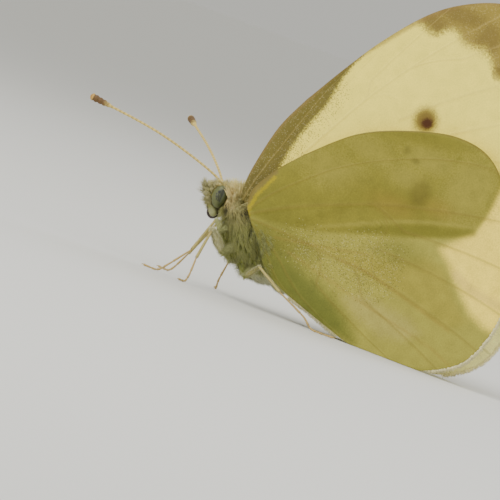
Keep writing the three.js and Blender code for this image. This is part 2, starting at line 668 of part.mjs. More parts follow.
const head = headSolid([grownThorax], grownAntennae);
const proboscis = cutBy(toSolid(proboscisForm()), [grownHead]);
const thorax = cutBy(joinedTo(toSolid(thoraxForm()), thoraxCoat()), roundThorax);
const abdomen = cutBy(toSolid(abdomenForm()), [waistBlock(true)]);
const rightPalp = palpSolid([grownHead, grownProboscis]);
addNode('head', toGeometry(head), FINISHES.face, point(HEAD.x, 0, HEAD.z));
addNode('proboscis', toGeometry(proboscis), FINISHES.proboscis, point(PROBOSCIS.x, 0, PROBOSCIS.z));
addNode('thorax', toGeometry(thorax), FINISHES.hair, THORAX_PATH[2]);
addNode('abdomen', toGeometry(abdomen), FINISHES.hair, point(WAIST.x, 0, WAIST.z));

/** A wing's hinge, at the front end of its root. */
const hingeOf = ({ hingeFront }, hinge, side) => point(hingeFront.x, side * hinge, hingeFront.y);

for (const [word, side] of SIDES) {
  const antenna = cutBy(toSolid(antennaForm(side, ...ANTENNA_WAYS[word])), [grownHead, ...grownEyes]);
  const palp = side > 0 ? rightPalp : rightPalp.mirror([0, 1, 0]);
  const [, antennaRoot] = ANTENNA_ROOT;
  const palpRoot = point(PALP.path[1].x, side * PALP_SPREAD, PALP.path[1].z);
  addNode(`eye_${word}`, eyeForm(side), FINISHES.eye, point(EYE.x, side * EYE.y, EYE.z));
  addNode(`antenna_${word}`, toGeometry(antenna), FINISHES.horn,
    point(antennaRoot.x, side * antennaRoot.y, antennaRoot.z));
  addNode(`palp_${word}`, toGeometry(palp), FINISHES.face, palpRoot);
  const foreRoot = hingeOf(FORE_OUTLINE, FOREWING.hinge, side);
  const hindRoot = hingeOf(HIND_OUTLINE, HINDWING.hinge, side);
  addNode(`forewing_${word}`, forewing(side), FINISHES.forewing, foreRoot);
  addNode(`hindwing_${word}`, hindwing(side), FINISHES.hindwing, hindRoot);
  for (const pair of Object.keys(LEGS)) {
    const leg = restOnFloor(toGeometry(legSolid(pair, side)));
    addNode(`leg_${pair}_${word}`, leg, FINISHES.leg, LEGS[pair][word][1]);
  }
}

// The origin is under the middle of the whole animal.
const middle = new THREE.Box3().setFromObject(butterfly, true).getCenter(new THREE.Vector3());
butterfly.position.set(-middle.x, -middle.y, 0);

export default butterfly;
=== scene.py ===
"""A small white butterfly at rest with its wings closed over its back, at life size.

Places in the classes are in millimetres from the floor point under the front feet: the head faces -X, the
left side is towards -Y and +Z is up. Stance carries them into the frame, which is in metres.
"""

import logging
import math
from abc import ABC, abstractmethod
from collections.abc import Callable, Sequence
from dataclasses import dataclass
from enum import Enum

import bmesh
import bpy
import numpy as np
from mathutils import Matrix, Vector


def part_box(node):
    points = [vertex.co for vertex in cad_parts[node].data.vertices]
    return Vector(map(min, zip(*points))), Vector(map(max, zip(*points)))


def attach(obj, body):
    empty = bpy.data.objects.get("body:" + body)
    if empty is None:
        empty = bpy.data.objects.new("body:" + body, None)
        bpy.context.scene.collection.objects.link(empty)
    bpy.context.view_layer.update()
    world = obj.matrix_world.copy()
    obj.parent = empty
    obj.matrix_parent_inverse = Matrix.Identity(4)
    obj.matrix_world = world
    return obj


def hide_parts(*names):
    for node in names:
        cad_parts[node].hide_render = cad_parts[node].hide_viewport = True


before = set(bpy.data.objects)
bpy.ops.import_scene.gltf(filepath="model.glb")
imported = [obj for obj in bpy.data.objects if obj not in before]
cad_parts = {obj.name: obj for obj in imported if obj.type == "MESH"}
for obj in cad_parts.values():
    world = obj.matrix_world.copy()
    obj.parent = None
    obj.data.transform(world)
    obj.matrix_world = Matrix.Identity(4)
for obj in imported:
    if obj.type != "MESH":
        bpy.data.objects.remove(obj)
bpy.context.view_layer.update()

log = logging.getLogger("small_white")

MM = 0.001
BODY = "root"
BAKE_PATCH = 0.003
SHORT_CUTS = (0.5,)
LONG_CUTS = (0.35, 0.7)
EYE_CENTRE = (3.64, 0.86, 6.5)
EYE_CLEARING = (0.6, 0.44, 0.86)

Array = np.ndarray
BMesh = bmesh.types.BMesh
Material = bpy.types.Material
Mesh = bpy.types.Mesh
HairRow = tuple[int, float, float]
NodeTree = bpy.types.NodeTree
Pair = tuple[float, float]
Point = tuple[float, ...]
Socket = bpy.types.NodeSocket


class Side(Enum):
    """The two sides of the body; the value is the sign of Y."""

    LEFT = -1
    RIGHT = 1

    @property
    def word(self) -> str:
        """The side's name as it stands in the names of nodes."""
        return self.name.lower()


class Stem(Enum):
    """On which side of a vein its stem lies; the value is the step to it in the list of veins."""

    NONE = 0
    NEXT = 1
    PREVIOUS = -1


class Face(Enum):
    """Which face of a wing a mark is on."""

    UNDER = "under"
    UPPER = "upper"


@dataclass(frozen=True)
class Stance:
    """Where the butterfly stands in the frame."""

    shift: Vector

    @classmethod
    def from_frame(cls) -> "Stance":
        """Reads the shift from the left eye, whose own centre is known."""
        low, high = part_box("eye_left")
        x, y, z = EYE_CENTRE
        return cls((low + high) / 2 - Vector((x, -y, z)) * MM)

    @property
    def matrix(self) -> Matrix:
        """Carries millimetres of the butterfly into metres of the frame."""
        return Matrix.Translation(self.shift) @ Matrix.Scale(MM, 4)


# ---- curves and round forms


def unit(ways: Array) -> Array:
    """Returns the ways with a length of one."""
    return ways / np.maximum(np.linalg.norm(ways, axis=-1, keepdims=True), 1e-12)


def smooth(values: Array, low: float, high: float) -> Array:
    """A soft step from 0 at `low` to 1 at `high`."""
    share = np.clip((values - low) / (high - low), 0, 1)
    return share * share * (3 - 2 * share)


def eased(values: Sequence[float], t: Array) -> Array:
    """A value at `t` from 0 to 1 along an even row of values, smoothly."""
    row = np.asarray(values, float)
    place = np.clip(t, 0, 1) * (len(row) - 1)
    first = np.minimum(place.astype(int), len(row) - 2)
    share = smooth(place - first, 0, 1)
    return row[first] + (row[first + 1] - row[first]) * share


def points(places: Sequence[Array]) -> tuple[Point, ...]:
    """Places as plain points."""
    return tuple(map(tuple, places))


def flattened(ways: Array, outs: Array) -> Array:
    """Ways laid flat on a surface, from its ways out."""
    return unit(ways - outs * (ways * outs).sum(axis=1, keepdims=True))


def unwrapped(turn: Array, along: Array) -> Array:
    """A round form's unwrap: angles round it and shares of the way along it, just inside the map."""
    return 0.01 + 0.97 * np.stack([turn / (2 * math.pi) + 0.5, along], axis=1)


class Curve:
    """A smooth curve through points, read at shares of its own length."""

    STEPS = 48
    COARSE = 4

    def __init__(self, points: Sequence[Point], tension: float = 0.5, mirrored: bool = True) -> None:
        """Samples the curve.

        Args:
            points: the points that it passes through.
            tension: how round it is between them.
            mirrored: whether the curve leaves its ends as if it went on, or bends flat there.
        """
        places = np.asarray(points, float)
        before = 2 * places[0] - places[1] if mirrored else places[0]
        after = 2 * places[-1] - places[-2] if mirrored else places[-1]
        padded = np.vstack([before, places, after])
        steps = np.linspace(0, len(places) - 1, self.STEPS * (len(places) - 1) + 1)
        first = np.minimum(steps.astype(int), len(places) - 2)
        t = (steps - first)[:, None]
        p0, p1, p2, p3 = (padded[first + offset] for offset in range(4))
        leave, arrive = tension * (p2 - p0), tension * (p3 - p1)
        self.samples = (
            p1 + leave * t + (3 * (p2 - p1) - 2 * leave - arrive) * t**2 + (2 * (p1 - p2) + leave + arrive) * t**3
        )
        self.run = np.concatenate([[0], np.cumsum(np.linalg.norm(np.diff(self.samples, axis=0), axis=1))])

    @property
    def length(self) -> float:
        """The curve's length."""
        return float(self.run[-1])

    def read(self, row: Array, shares: Array) -> Array:
        """Values kept at the curve's samples, read at shares of its length."""
        reach = np.clip(shares, 0, 1) * self.length
        return np.stack([np.interp(reach, self.run, column) for column in row.T], axis=-1)

    def at(self, shares: Array) -> Array:
        """Places on the curve."""
        return self.read(self.samples, shares)

    def nearest(self, places: Array) -> Array:
        """Shares of the curve's length that lie nearest to places."""
        gaps = np.linalg.norm(places[:, None, :] - self.samples[None, :: self.COARSE, :], axis=-1)
        return self.run[:: self.COARSE][gaps.argmin(axis=1)] / self.length

    def frames(self) -> tuple[Array, Array, Array]:
        """Ways along, across and up at every sample, carried along without twisting."""
        tangents = unit(np.gradient(self.samples, axis=0))
        start = np.array([0.0, 1.0, 0.0])
        if abs(tangents[0] @ start) > 0.9:
            start = np.array([1.0, 0.0, 0.0])
        across = np.zeros_like(tangents)
        carried = start
        for index, tangent in enumerate(tangents):
            carried = unit(carried - (carried @ tangent) * tangent)
            across[index] = carried
        return tangents, across, np.cross(tangents, across)


@dataclass(frozen=True)
class BentForm:
    """A round form carried along a curve, with its own half widths and half heights and round ends."""

    RIPPLE_MEAN = 0.6

    path: tuple[Point, ...]
    widths: tuple[float, ...]
    heights: tuple[float, ...] = ()
    caps: Pair = (0.1, 0.1)
    rings: int = 48
    sides: int = 28
    ripples: int = 0
    ripple_depth: float = 0.0

    def surface(self, t: Array, turn: Array) -> tuple[Array, Array, Array]:
        """Places on the form.

        Args:
            t: shares of the way along it.
            turn: angles round it from its top.

        Returns:
            Places, ways out of the surface and ways along the form.
        """
        curve = Curve(self.path)
        tangents, across, upward = (curve.read(row, t) for row in curve.frames())
        start, end = self.caps
        from_start, from_end = t * curve.length, (1 - t) * curve.length
        share = self._rounded(from_start / start) * self._rounded(from_end / end)
        if self.ripples:
            share *= 1 + self.ripple_depth * (np.abs(np.sin(math.pi * self.ripples * t)) - self.RIPPLE_MEAN)
        width = (eased(self.widths, t) * share)[..., None]
        height = (eased(self.heights or self.widths, t) * share)[..., None]
        sine, cosine = np.sin(turn)[..., None], np.cos(turn)[..., None]
        places = curve.at(t) + across * width * sine - upward * height * cosine
        outs = unit(across * sine * np.maximum(height, 1e-6) - upward * cosine * np.maximum(width, 1e-6))
        return places, outs, tangents

    @staticmethod
    def _rounded(reach: Array) -> Array:
        """A quarter round from 0 to 1 over a reach of one."""
        return np.sqrt(np.clip(1 - np.clip(1 - reach, 0, 1) ** 2, 0, 1))

    def add_to(self, bm: BMesh, part: float) -> None:
        """Adds the closed form to a mesh, which keeps the share of the way along it and the part's number."""
        layers = bm.verts.layers.float
        along, parts = (layers.get(word) or layers.new(word) for word in ("along", "part"))
        ball = bmesh.ops.create_uvsphere(bm, u_segments=self.sides, v_segments=self.rings, radius=1.0)["verts"]
        corners = np.array([vertex.co for vertex in ball])
        t = (1 - corners[:, 2]) / 2
        places, _, _ = self.surface(t, np.arctan2(corners[:, 0], corners[:, 1]))
        for vertex, place, share in zip(ball, places, t):
            vertex.co = place
            vertex[along] = share
            vertex[parts] = part


@dataclass(frozen=True)
class Egg:
    """A ball stretched along the three axes."""

    centre: Point
    radii: Point
    columns: int = 40
    rows: int = 28

    def add_to(self, bm: BMesh, _part: float) -> None:
        """Adds the closed form to a mesh."""
        matrix = Matrix.Translation(self.centre) @ Matrix.Diagonal((*self.radii, 1.0))
        bmesh.ops.create_uvsphere(bm, u_segments=self.columns, v_segments=self.rows, radius=1.0, matrix=matrix)


# ---- meshes


def mesh_of(bm: BMesh, name: str) -> Mesh:
    """Turns a bmesh into a mesh whose faces point out, still in millimetres, and frees it."""
    bmesh.ops.recalc_face_normals(bm, faces=bm.faces[:])
    for face in bm.faces:
        face.smooth = True
    mesh = bpy.data.meshes.new(name)
    bm.to_mesh(mesh)
    bm.free()
    return mesh


def mesh_from(name: str, *forms: BentForm | Egg) -> Mesh:
    """One mesh of closed forms, which keeps the number of each bent one."""
    bm = bmesh.new()
    for part, form in enumerate(forms):
        form.add_to(bm, part)
    return mesh_of(bm, name)


def taken_up(mesh: Mesh) -> BMesh:
    """Reads a mesh into a bmesh and removes the mesh."""
    bm = bmesh.new()
    bm.from_mesh(mesh)
    bpy.data.meshes.remove(mesh)
    return bm


def corners_of(mesh: Mesh) -> Array:
    """Every vertex's place."""
    flat = np.zeros(len(mesh.vertices) * 3)
    mesh.vertices.foreach_get("co", flat)
    return flat.reshape(-1, 3)


def kept_values(mesh: Mesh, name: str) -> Array:
    """The values that the mesh keeps for each vertex under a name."""
    values = np.zeros(len(mesh.vertices))
    mesh.attributes[name].data.foreach_get("value", values)
    return values


def keep_values(mesh: Mesh, values: dict[str, Array]) -> None:
    """Stores a value for each vertex under each name, for the materials to read."""
    for name, row in values.items():
        layer = mesh.attributes.get(name) or mesh.attributes.new(name, "FLOAT", "POINT")
        layer.data.foreach_set("value", np.ascontiguousarray(row, np.float32))


def linked(name: str, data: bpy.types.ID) -> bpy.types.Object:
    """A new object in the scene."""
    item = bpy.data.objects.new(name, data)
    bpy.context.scene.collection.objects.link(item)
    return item


def place_piece(
    mesh: Mesh, material: Material, stance: Stance, replaces: Sequence[str] = ()
) -> None:
    """Puts a mesh into the frame as a finished piece.

    Args:
        mesh: the piece's mesh, in millimetres.
        material: its only material.
        stance: where the butterfly stands.
        replaces: the CAD nodes that it stands for.
    """
    mesh.transform(stance.matrix)
    mesh.materials.clear()
    mesh.materials.append(material)
    piece = linked(mesh.name, mesh)
    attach(piece, BODY)
    if replaces:
        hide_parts(*replaces)
    mesh.calc_loop_triangles()
    log.info("%s: %d triangles", piece.name, len(mesh.loop_triangles))


# ---- marks


def distance_to_line(places: Array, line: Array) -> Array:
    """How far each place is from a line of straight steps, in space or in side view."""
    best = np.full(len(places), np.inf)
    for start, end in zip(line[:-1], line[1:]):
        step = end - start
        share = np.clip(((places - start) @ step) / max(step @ step, 1e-12), 0, 1)
        best = np.minimum(best, np.linalg.norm(places - start - share[:, None] * step, axis=1))
    return best


def is_inside(places: Array, outline: Array) -> Array:
    """Whether each place lies inside a closed outline."""
    x, z = places.T
    inside = np.zeros(len(places), bool)
    for (x0, z0), (x1, z1) in zip(outline, np.roll(outline, -1, axis=0)):
        if z0 == z1:
            continue
        crosses = (z0 > z) != (z1 > z)
        inside ^= crosses & (x < x0 + (z - z0) * (x1 - x0) / (z1 - z0))
    return inside


@dataclass(frozen=True)
class Patch:
    """A mark that fills a closed outline and fades over its edge."""

    outline: tuple[Point, ...]
    soft: float

    def mask(self, places: Array) -> Array:
        """1 inside the mark, 0 outside it."""
        outline = np.asarray(self.outline, float)
        gap = distance_to_line(places, np.vstack([outline, outline[:1]]))
        return smooth(np.where(is_inside(places, outline), gap, -gap), -self.soft, self.soft)


@dataclass(frozen=True)
class Stroke:
    """A mark along a curve, with its half width at its two ends."""

    points: tuple[Point, ...]
    half: float
    soft: float

    def mask(self, places: Array) -> Array:
        """1 on the stroke, 0 away from it."""
        line = Curve(self.points, mirrored=False).samples[::6]
        return 1 - smooth(distance_to_line(places, line), self.half, self.half + self.soft)


@dataclass(frozen=True)
class Spot:
    """A round or oval mark, flat or in space."""

    centre: Point
    radii: Point
    soft: float

    def mask(self, places: Array) -> Array:
        """1 in the spot, 0 outside it; `soft` is a share of its radius."""
        away = np.linalg.norm((places - np.asarray(self.centre)) / np.asarray(self.radii), axis=1)
        return 1 - smooth(away, 1 - self.soft, 1 + self.soft)


Mark = Patch | Stroke | Spot


@dataclass(frozen=True)
class Layer:
    """A colour laid over what is under it, where its marks are."""

    name: str
    tint: str
    marks: tuple[Mark, ...] = ()
    strength: float = 1.0
    grain: float = 0.6
    flecks: float = 0.0
    face: Face = Face.UNDER

    def mask(self, places: Array) -> Array:
        """The strongest of the layer's marks at each place."""
        return np.max([np.zeros(len(places)), *(mark.mask(places) for mark in self.marks)], axis=0)


# ---- materials


def colour(tint: str) -> tuple[float, float, float, float]:
    """A colour written as #rrggbb, as the linear values that a shader takes."""
    parts = [int(tint[first : first + 2], 16) / 255 for first in (1, 3, 5)]
    linear = [part / 12.92 if part <= 0.04045 else ((part + 0.055) / 1.055) ** 2.4 for part in parts]
    return (*linear, 1.0)


class Shade:
    """A node tree that is built one node at a time."""

    def __init__(self, tree: NodeTree) -> None:
        """Starts on a tree, which it empties."""
        self.tree = tree
        tree.nodes.clear()

    @classmethod
    def on_material(cls, name: str) -> tuple[Material, "Shade"]:
        """A new material and a Shade on its tree."""
        material = bpy.data.materials.new(name)
        material.use_nodes = True
        return material, cls(material.node_tree)

    @classmethod
    def on_effect(cls, name: str, inputs: dict[str, str], output: str) -> tuple["Shade", dict[str, Socket]]:
        """Starts a shared effect.

        Args:
            name: the effect's name.
            inputs: each input's name and the last word of its socket's type.
            output: the only output's name; a colour is named Color, and every other output is a number.

        Returns:
            A Shade on the new group, and its input sockets by name.
        """
        tree = bpy.data.node_groups.new(name, "ShaderNodeTree")
        for word, kind in inputs.items():
            tree.interface.new_socket(name=word, in_out="INPUT", socket_type=f"NodeSocket{kind}")
        kind = "Color" if output == "Color" else "Float"
        tree.interface.new_socket(name=output, in_out="OUTPUT", socket_type=f"NodeSocket{kind}")
        shade = cls(tree)
        source = shade.node("NodeGroupInput")
        return shade, {word: source.outputs[word] for word in inputs}

    def node(self, kind: str, inputs: dict | None = None, **settings) -> bpy.types.Node:
        """Adds a node.

        Args:
            kind: the node's type.
            inputs: a socket or a plain value for each of its inputs, by name or index.
            settings: the node's own properties.

        Returns:
            The new node.
        """
        node = self.tree.nodes.new(kind)
        for name, value in settings.items():
            setattr(node, name, value)
        for key, value in (inputs or {}).items():
            if isinstance(value, Socket):
                self.tree.links.new(value, node.inputs[key])
            else:
                node.inputs[key].default_value = value
        return node

    def math(self, operation: str, *values: Socket | float, clamp: bool = False) -> Socket:
        """The result of a sum on sockets or numbers."""
        inputs = dict(enumerate(values))
        return self.node("ShaderNodeMath", inputs, operation=operation, use_clamp=clamp).outputs[0]

    def mix(self, factor: Socket | float, under: Socket | tuple, over: Socket | tuple, blend: str = "MIX") -> Socket:
        """One colour laid over another."""
        inputs = {0: factor, 6: under, 7: over}
        return self.node("ShaderNodeMix", inputs, data_type="RGBA", blend_type=blend).outputs[2]

    def dimmed(self, paint: Socket | tuple, light: Socket) -> Socket:
        """A colour times a lightness."""
        grey = self.node("ShaderNodeCombineColor", {0: light, 1: light, 2: light}).outputs[0]
        return self.mix(1.0, paint, grey, "MULTIPLY")

    def noise(self, place: Socket, size: Socket, detail: float) -> Socket:
        """Soft noise round one half."""
        return self.node("ShaderNodeTexNoise", {"Vector": place, "Scale": size, "Detail": detail}).outputs[0]

    def kept(self, name: str, strength: float = 1.0) -> Socket:
        """A value that the mesh keeps for each vertex, times a strength."""
        value = self.node("ShaderNodeAttribute", attribute_name=name).outputs["Fac"]
        return value if strength == 1.0 else self.math("MULTIPLY", value, strength)

    def millimetres(self, stance: Stance) -> Socket:
        """The place in the butterfly's own millimetres."""
        place = self.node("ShaderNodeTexCoord").outputs["Object"]
        inputs = {"Vector": place, "Location": tuple(-stance.shift / MM), "Scale": (1 / MM,) * 3}
        return self.node("ShaderNodeMapping", inputs).outputs["Vector"]

    def use(self, effect: NodeTree, inputs: dict) -> Socket:
        """Places a shared effect."""
        return self.node("ShaderNodeGroup", inputs, node_tree=effect).outputs[0]

    def surface(self, inputs: dict) -> None:
        """Ends a material in one Principled surface."""
        principled = self.node("ShaderNodeBsdfPrincipled", inputs)
        self.node("ShaderNodeOutputMaterial", {"Surface": principled.outputs[0]})


class Effects:
    """The effects that more than one material uses."""

    EDGE_SWING = 12.0
    FLECK_EDGE = (0.3, 0.5)
    CLOUDS = 2.0
    GRAIN = 2.4
    GRAIN_SIZE = 9.0

    def __init__(self) -> None:
        """Builds every effect once."""
        self.dusted = self._dusted()
        self.flecks = self._flecks()
        self.mottled = self._mottled()
        self.scales = self._scales()

    def _dusted(self) -> NodeTree:
        """Breaks the soft edge of a mask into grains the size of scales."""
        inputs = {"Vector": "Vector", "Mask": "Float", "Size": "Float", "Grain": "Float"}
        shade, given = Shade.on_effect("dusted edge", inputs, "Mask")
        swing = shade.math("SUBTRACT", shade.noise(given["Vector"], given["Size"], 3.0), 0.5)
        swing = shade.math("MULTIPLY", shade.math("MULTIPLY", swing, self.EDGE_SWING), given["Grain"])
        room = shade.math("MULTIPLY", given["Mask"], shade.math("SUBTRACT", 1.0, given["Mask"]))
        shade.node("NodeGroupOutput", {"Mask": shade.math("MULTIPLY_ADD", swing, room, given["Mask"], clamp=True)})
        return shade.tree

    def _flecks(self) -> NodeTree:
        """Scattered single scales of another colour."""
        inputs = {"Vector": "Vector", "Mask": "Float", "Size": "Float", "Share": "Float"}
        shade, given = Shade.on_effect("scattered scales", inputs, "Mask")
        cells = shade.node("ShaderNodeTexVoronoi", {"Vector": given["Vector"], "Scale": given["Size"]})
        chance = shade.node("ShaderNodeSeparateColor", {"Color": cells.outputs["Color"]}).outputs[0]
        chosen = shade.math("LESS_THAN", chance, shade.math("MULTIPLY", given["Share"], given["Mask"]))
        low, high = self.FLECK_EDGE
        ramp = {"Value": cells.outputs["Distance"], 1: low, 2: high, 3: 1.0, 4: 0.0}
        round_off = shade.node("ShaderNodeMapRange", ramp).outputs[0]
        shade.node("NodeGroupOutput", {"Mask": shade.math("MULTIPLY", chosen, round_off)})
        return shade.tree

    def _mottled(self) -> NodeTree:
        """Uneven lightness over a colour, in large soft clouds and fine grain."""
        inputs = {"Vector": "Vector", "Color": "Color", "Size": "Float", "Amount": "Float"}
        shade, given = Shade.on_effect("mottled", inputs, "Color")
        clouds = shade.math("MULTIPLY", shade.noise(given["Vector"], given["Size"], 4.0), self.CLOUDS)
        fine_size = shade.math("MULTIPLY", given["Size"], self.GRAIN_SIZE)
        both = shade.math("MULTIPLY_ADD", shade.noise(given["Vector"], fine_size, 2.0), self.GRAIN, clouds)
        middle = (self.CLOUDS + self.GRAIN) / 2
        swing = shade.math("MULTIPLY", shade.math("SUBTRACT", both, middle), given["Amount"])
        shade.node("NodeGroupOutput", {"Color": shade.dimmed(given["Color"], shade.math("ADD", 1.0, swing))})
        return shade.tree

    def _scales(self) -> NodeTree:
        """The relief of tiny round scales or facets."""
        shade, given = Shade.on_effect("wing scales", {"Vector": "Vector", "Size": "Float"}, "Height")
        cells = shade.node("ShaderNodeTexVoronoi", {"Vector": given["Vector"], "Scale": given["Size"]})
        shade.node("NodeGroupOutput", {"Height": cells.outputs["Distance"]})
        return shade.tree


@dataclass(frozen=True)
class Finish(ABC):
    """What every finish has: a name, layers of marks, the grain of their edges and how rough it is."""

    name: str
    layers: tuple[Layer, ...] = ()
    edge_size: float = 7.0
    roughness: float = 0.75
    fleck_size: float = 8.0

    def material(self, effects: Effects, stance: Stance) -> Material:
        """Builds the material."""
        material, shade = Shade.on_material(self.name)
        shade.surface(self.surface(shade, effects, shade.millimetres(stance)))
        return material

    @abstractmethod
    def surface(self, shade: Shade, effects: Effects, place: Socket) -> dict[str, Socket | float]:
        """What the Principled surface takes, from the place in millimetres."""

    def marked(
        self, shade: Shade, effects: Effects, place: Socket, paint: Socket | tuple, faces: dict | None = None
    ) -> Socket | tuple:
        """Lays the layers over a colour.

        Args:
            shade: the material's tree.
            effects: the shared effects.
            place: the place in millimetres.
            paint: the colour under them.
            faces: a mask for each face, where the piece has two.

        Returns:
            The marked colour.
        """
        for layer in self.layers:
            inputs = {"Vector": place, "Mask": shade.kept(layer.name)}
            if layer.flecks:
                inputs |= {"Size": self.fleck_size * (1 + layer.flecks), "Share": layer.flecks}
            else:
                inputs |= {"Size": self.edge_size, "Grain": layer.grain}
            mask = shade.use(effects.flecks if layer.flecks else effects.dusted, inputs)
            mask = shade.math("MULTIPLY", mask, layer.strength)
            if faces:
                mask = shade.math("MULTIPLY", mask, faces[layer.face])
            paint = shade.mix(mask, paint, colour(layer.tint))
        return paint


@dataclass(frozen=True)
class WingFinish(Finish):
    """Scales on a membrane: a colour for each face, and the layers of marks over them."""

    under: str = "#ffffff"
    upper: str = "#ffffff"
    vein_tint: str = "#ffffff"
    vein_strength: float = 0.2
    fringe_tint: str = "#ffffff"
    fringe_strength: float = 0.95
    mottle: float = 0.14
    cloud_size: float = 1.1
    relief: float = 0.12
    edge_size: float = 9.0
    roughness: float = 0.72

    def surface(self, shade: Shade, effects: Effects, place: Socket) -> dict[str, Socket | float]:
        """Both faces with their marks, the veins, the fringe and the relief of the scales."""
        upper = shade.kept("upper")
        faces = {Face.UPPER: upper, Face.UNDER: shade.math("SUBTRACT", 1.0, upper)}
        paint = shade.mix(upper, colour(self.under), colour(self.upper))
        paint = self.marked(shade, effects, place, paint, faces)
        paint = shade.mix(shade.kept("vein", self.vein_strength), paint, colour(self.vein_tint))
        paint = shade.mix(shade.kept("fringe", self.fringe_strength), paint, colour(self.fringe_tint))
        clouds = {"Vector": place, "Color": paint, "Size": self.cloud_size, "Amount": self.mottle}
        scales = shade.use(effects.scales, {"Vector": place, "Size": self.edge_size})
        bump = {"Height": scales, "Strength": self.relief, "Distance": 0.00002}
        return {
            "Base Color": shade.use(effects.mottled, clouds),
            "Roughness": self.roughness,
            "Specular IOR Level": 0.25,
            "Sheen Weight": 0.12,
            "Normal": shade.node("ShaderNodeBump", bump).outputs[0],
        }


@dataclass(frozen=True)
class HairFinish(Finish):
    """Hair: a base colour, layers of marks, uneven tones and lighter tips."""

    base: str = "#ffffff"
    tip: str = "#ffffff"
    tip_strength: float = 0.3
    tone_range: Pair = (0.76, 1.2)
    edge_size: float = 4.0

    def surface(self, shade: Shade, effects: Effects, place: Socket) -> dict[str, Socket | float]:
        """The marked colour, hair by hair, paler towards the tips."""
        paint = self.coloured(shade, effects, place, self.marked(shade, effects, place, colour(self.base)))
        return {
            "Base Color": paint,
            "Roughness": self.roughness,
            "Specular IOR Level": 0.25,
            "Sheen Weight": 0.15,
        }

    def coloured(self, shade: Shade, effects: Effects, place: Socket, paint: Socket | tuple) -> Socket:
        """The marked colour with each hair's tone and tip."""
        low, high = self.tone_range
        paint = shade.dimmed(paint, shade.math("MULTIPLY_ADD", shade.kept("tone"), high - low, low))
        tips = shade.math("MULTIPLY", shade.math("POWER", shade.kept("along"), 2.0), self.tip_strength)
        return shade.mix(tips, paint, colour(self.tip))


@dataclass(frozen=True)
class SkinFinish(HairFinish):
    """The skin under hair: the same marks, unevenly mottled."""

    cloud_size: float = 3.0
    mottle: float = 0.35

    def coloured(self, shade: Shade, effects: Effects, place: Socket, paint: Socket | tuple) -> Socket:
        """The marked colour, mottled."""
        clouds = {"Vector": place, "Color": paint, "Size": self.cloud_size, "Amount": self.mottle}
        return shade.use(effects.mottled, clouds)


@dataclass(frozen=True)
class HornFinish(Finish):
    """Bare horn: a base colour, marks, and bands round a long piece where it has joints."""

    base: str = "#ffffff"
    bands: int = 0
    band_tint: str = "#000000"
    band_strength: float = 0.0
    band_edge: Pair = (0.45, 0.6)
    cloud_size: float = 2.5
    mottle: float = 0.2
    roughness: float = 0.45
    coat: float = 0.0
    facets: float = 0.0

    def surface(self, shade: Shade, effects: Effects, place: Socket) -> dict[str, Socket | float]:
        """The mottled base with its marks and bands, and the relief of facets where it has them."""
        clouds = {"Vector": place, "Color": colour(self.base), "Size": self.cloud_size, "Amount": self.mottle}
        paint = self.marked(shade, effects, place, shade.use(effects.mottled, clouds))
        if self.bands:
            turn = shade.math("FRACT", shade.kept("along", float(self.bands)))
            low, high = self.band_edge
            ring = shade.node("ShaderNodeMapRange", {"Value": turn, 1: low, 2: high, 3: 0.0, 4: self.band_strength})
            paint = shade.mix(ring.outputs[0], paint, colour(self.band_tint))
        surface = {
            "Base Color": paint,
            "Roughness": self.roughness,
            "Specular IOR Level": 0.4,
            "Coat Weight": self.coat,
            "Coat Roughness": 0.15,
        }
        if self.facets:
            cells = shade.use(effects.scales, {"Vector": place, "Size": self.facets})
            bump = {"Height": cells, "Strength": 0.3, "Distance": 0.00001}
            surface["Normal"] = shade.node("ShaderNodeBump", bump, invert=True).outputs[0]
        return surface


# ---- tufts


@dataclass
class Roots:
    """Where tufts grow: a row of values for every tuft."""

    places: Array
    outs: Array
    lies: Array
    lengths: Array
    halves: Array
    rises: Array
    unwrap: Array
    shades: Array | float = 0.0
    leans: Array | float = 0.0
    curl: float = 0.5
    sink: float = 0.08
    thin: float = 0.3

    def __len__(self) -> int:
        """How many tufts there are."""
        return len(self.places)


@dataclass
class Locks:
    """Hairs gathered round some of them: a row of values for every hair."""

    leans: Array
    turns: Array
    shades: Array
    stretches: Array

    @classmethod
    def gather(cls, places: Array, count: int, pull: float, seed: int) -> "Locks":
        """Gathers hairs.

        Args:
            places: the hairs' roots.
            count: how many locks.
            pull: how near the tips come together, from 0 to 1.
            seed: the seed of the random draw.

        Returns:
            How far each tip leans to the middle of its lock, and what the lock's hairs share.
        """
        random = np.random.default_rng(seed)
        heads = random.choice(len(places), count, replace=False)
        gaps = ((places[:, None] - places[None, heads]) ** 2).sum(axis=2)
        lock = gaps.argmin(axis=1)
        return cls(
            leans=(places[heads][lock] - places) * pull,
            turns=random.normal(0, 1, (count, 3))[lock],
            shades=random.normal(0, 0.2, count)[lock],
            stretches=random.uniform(0.72, 1.15, count)[lock],
        )

    @classmethod
    def loose(cls, count: int) -> "Locks":
        """Hairs that don't gather."""
        return cls(np.zeros((count, 3)), np.zeros((count, 3)), np.zeros(count), np.ones(count))


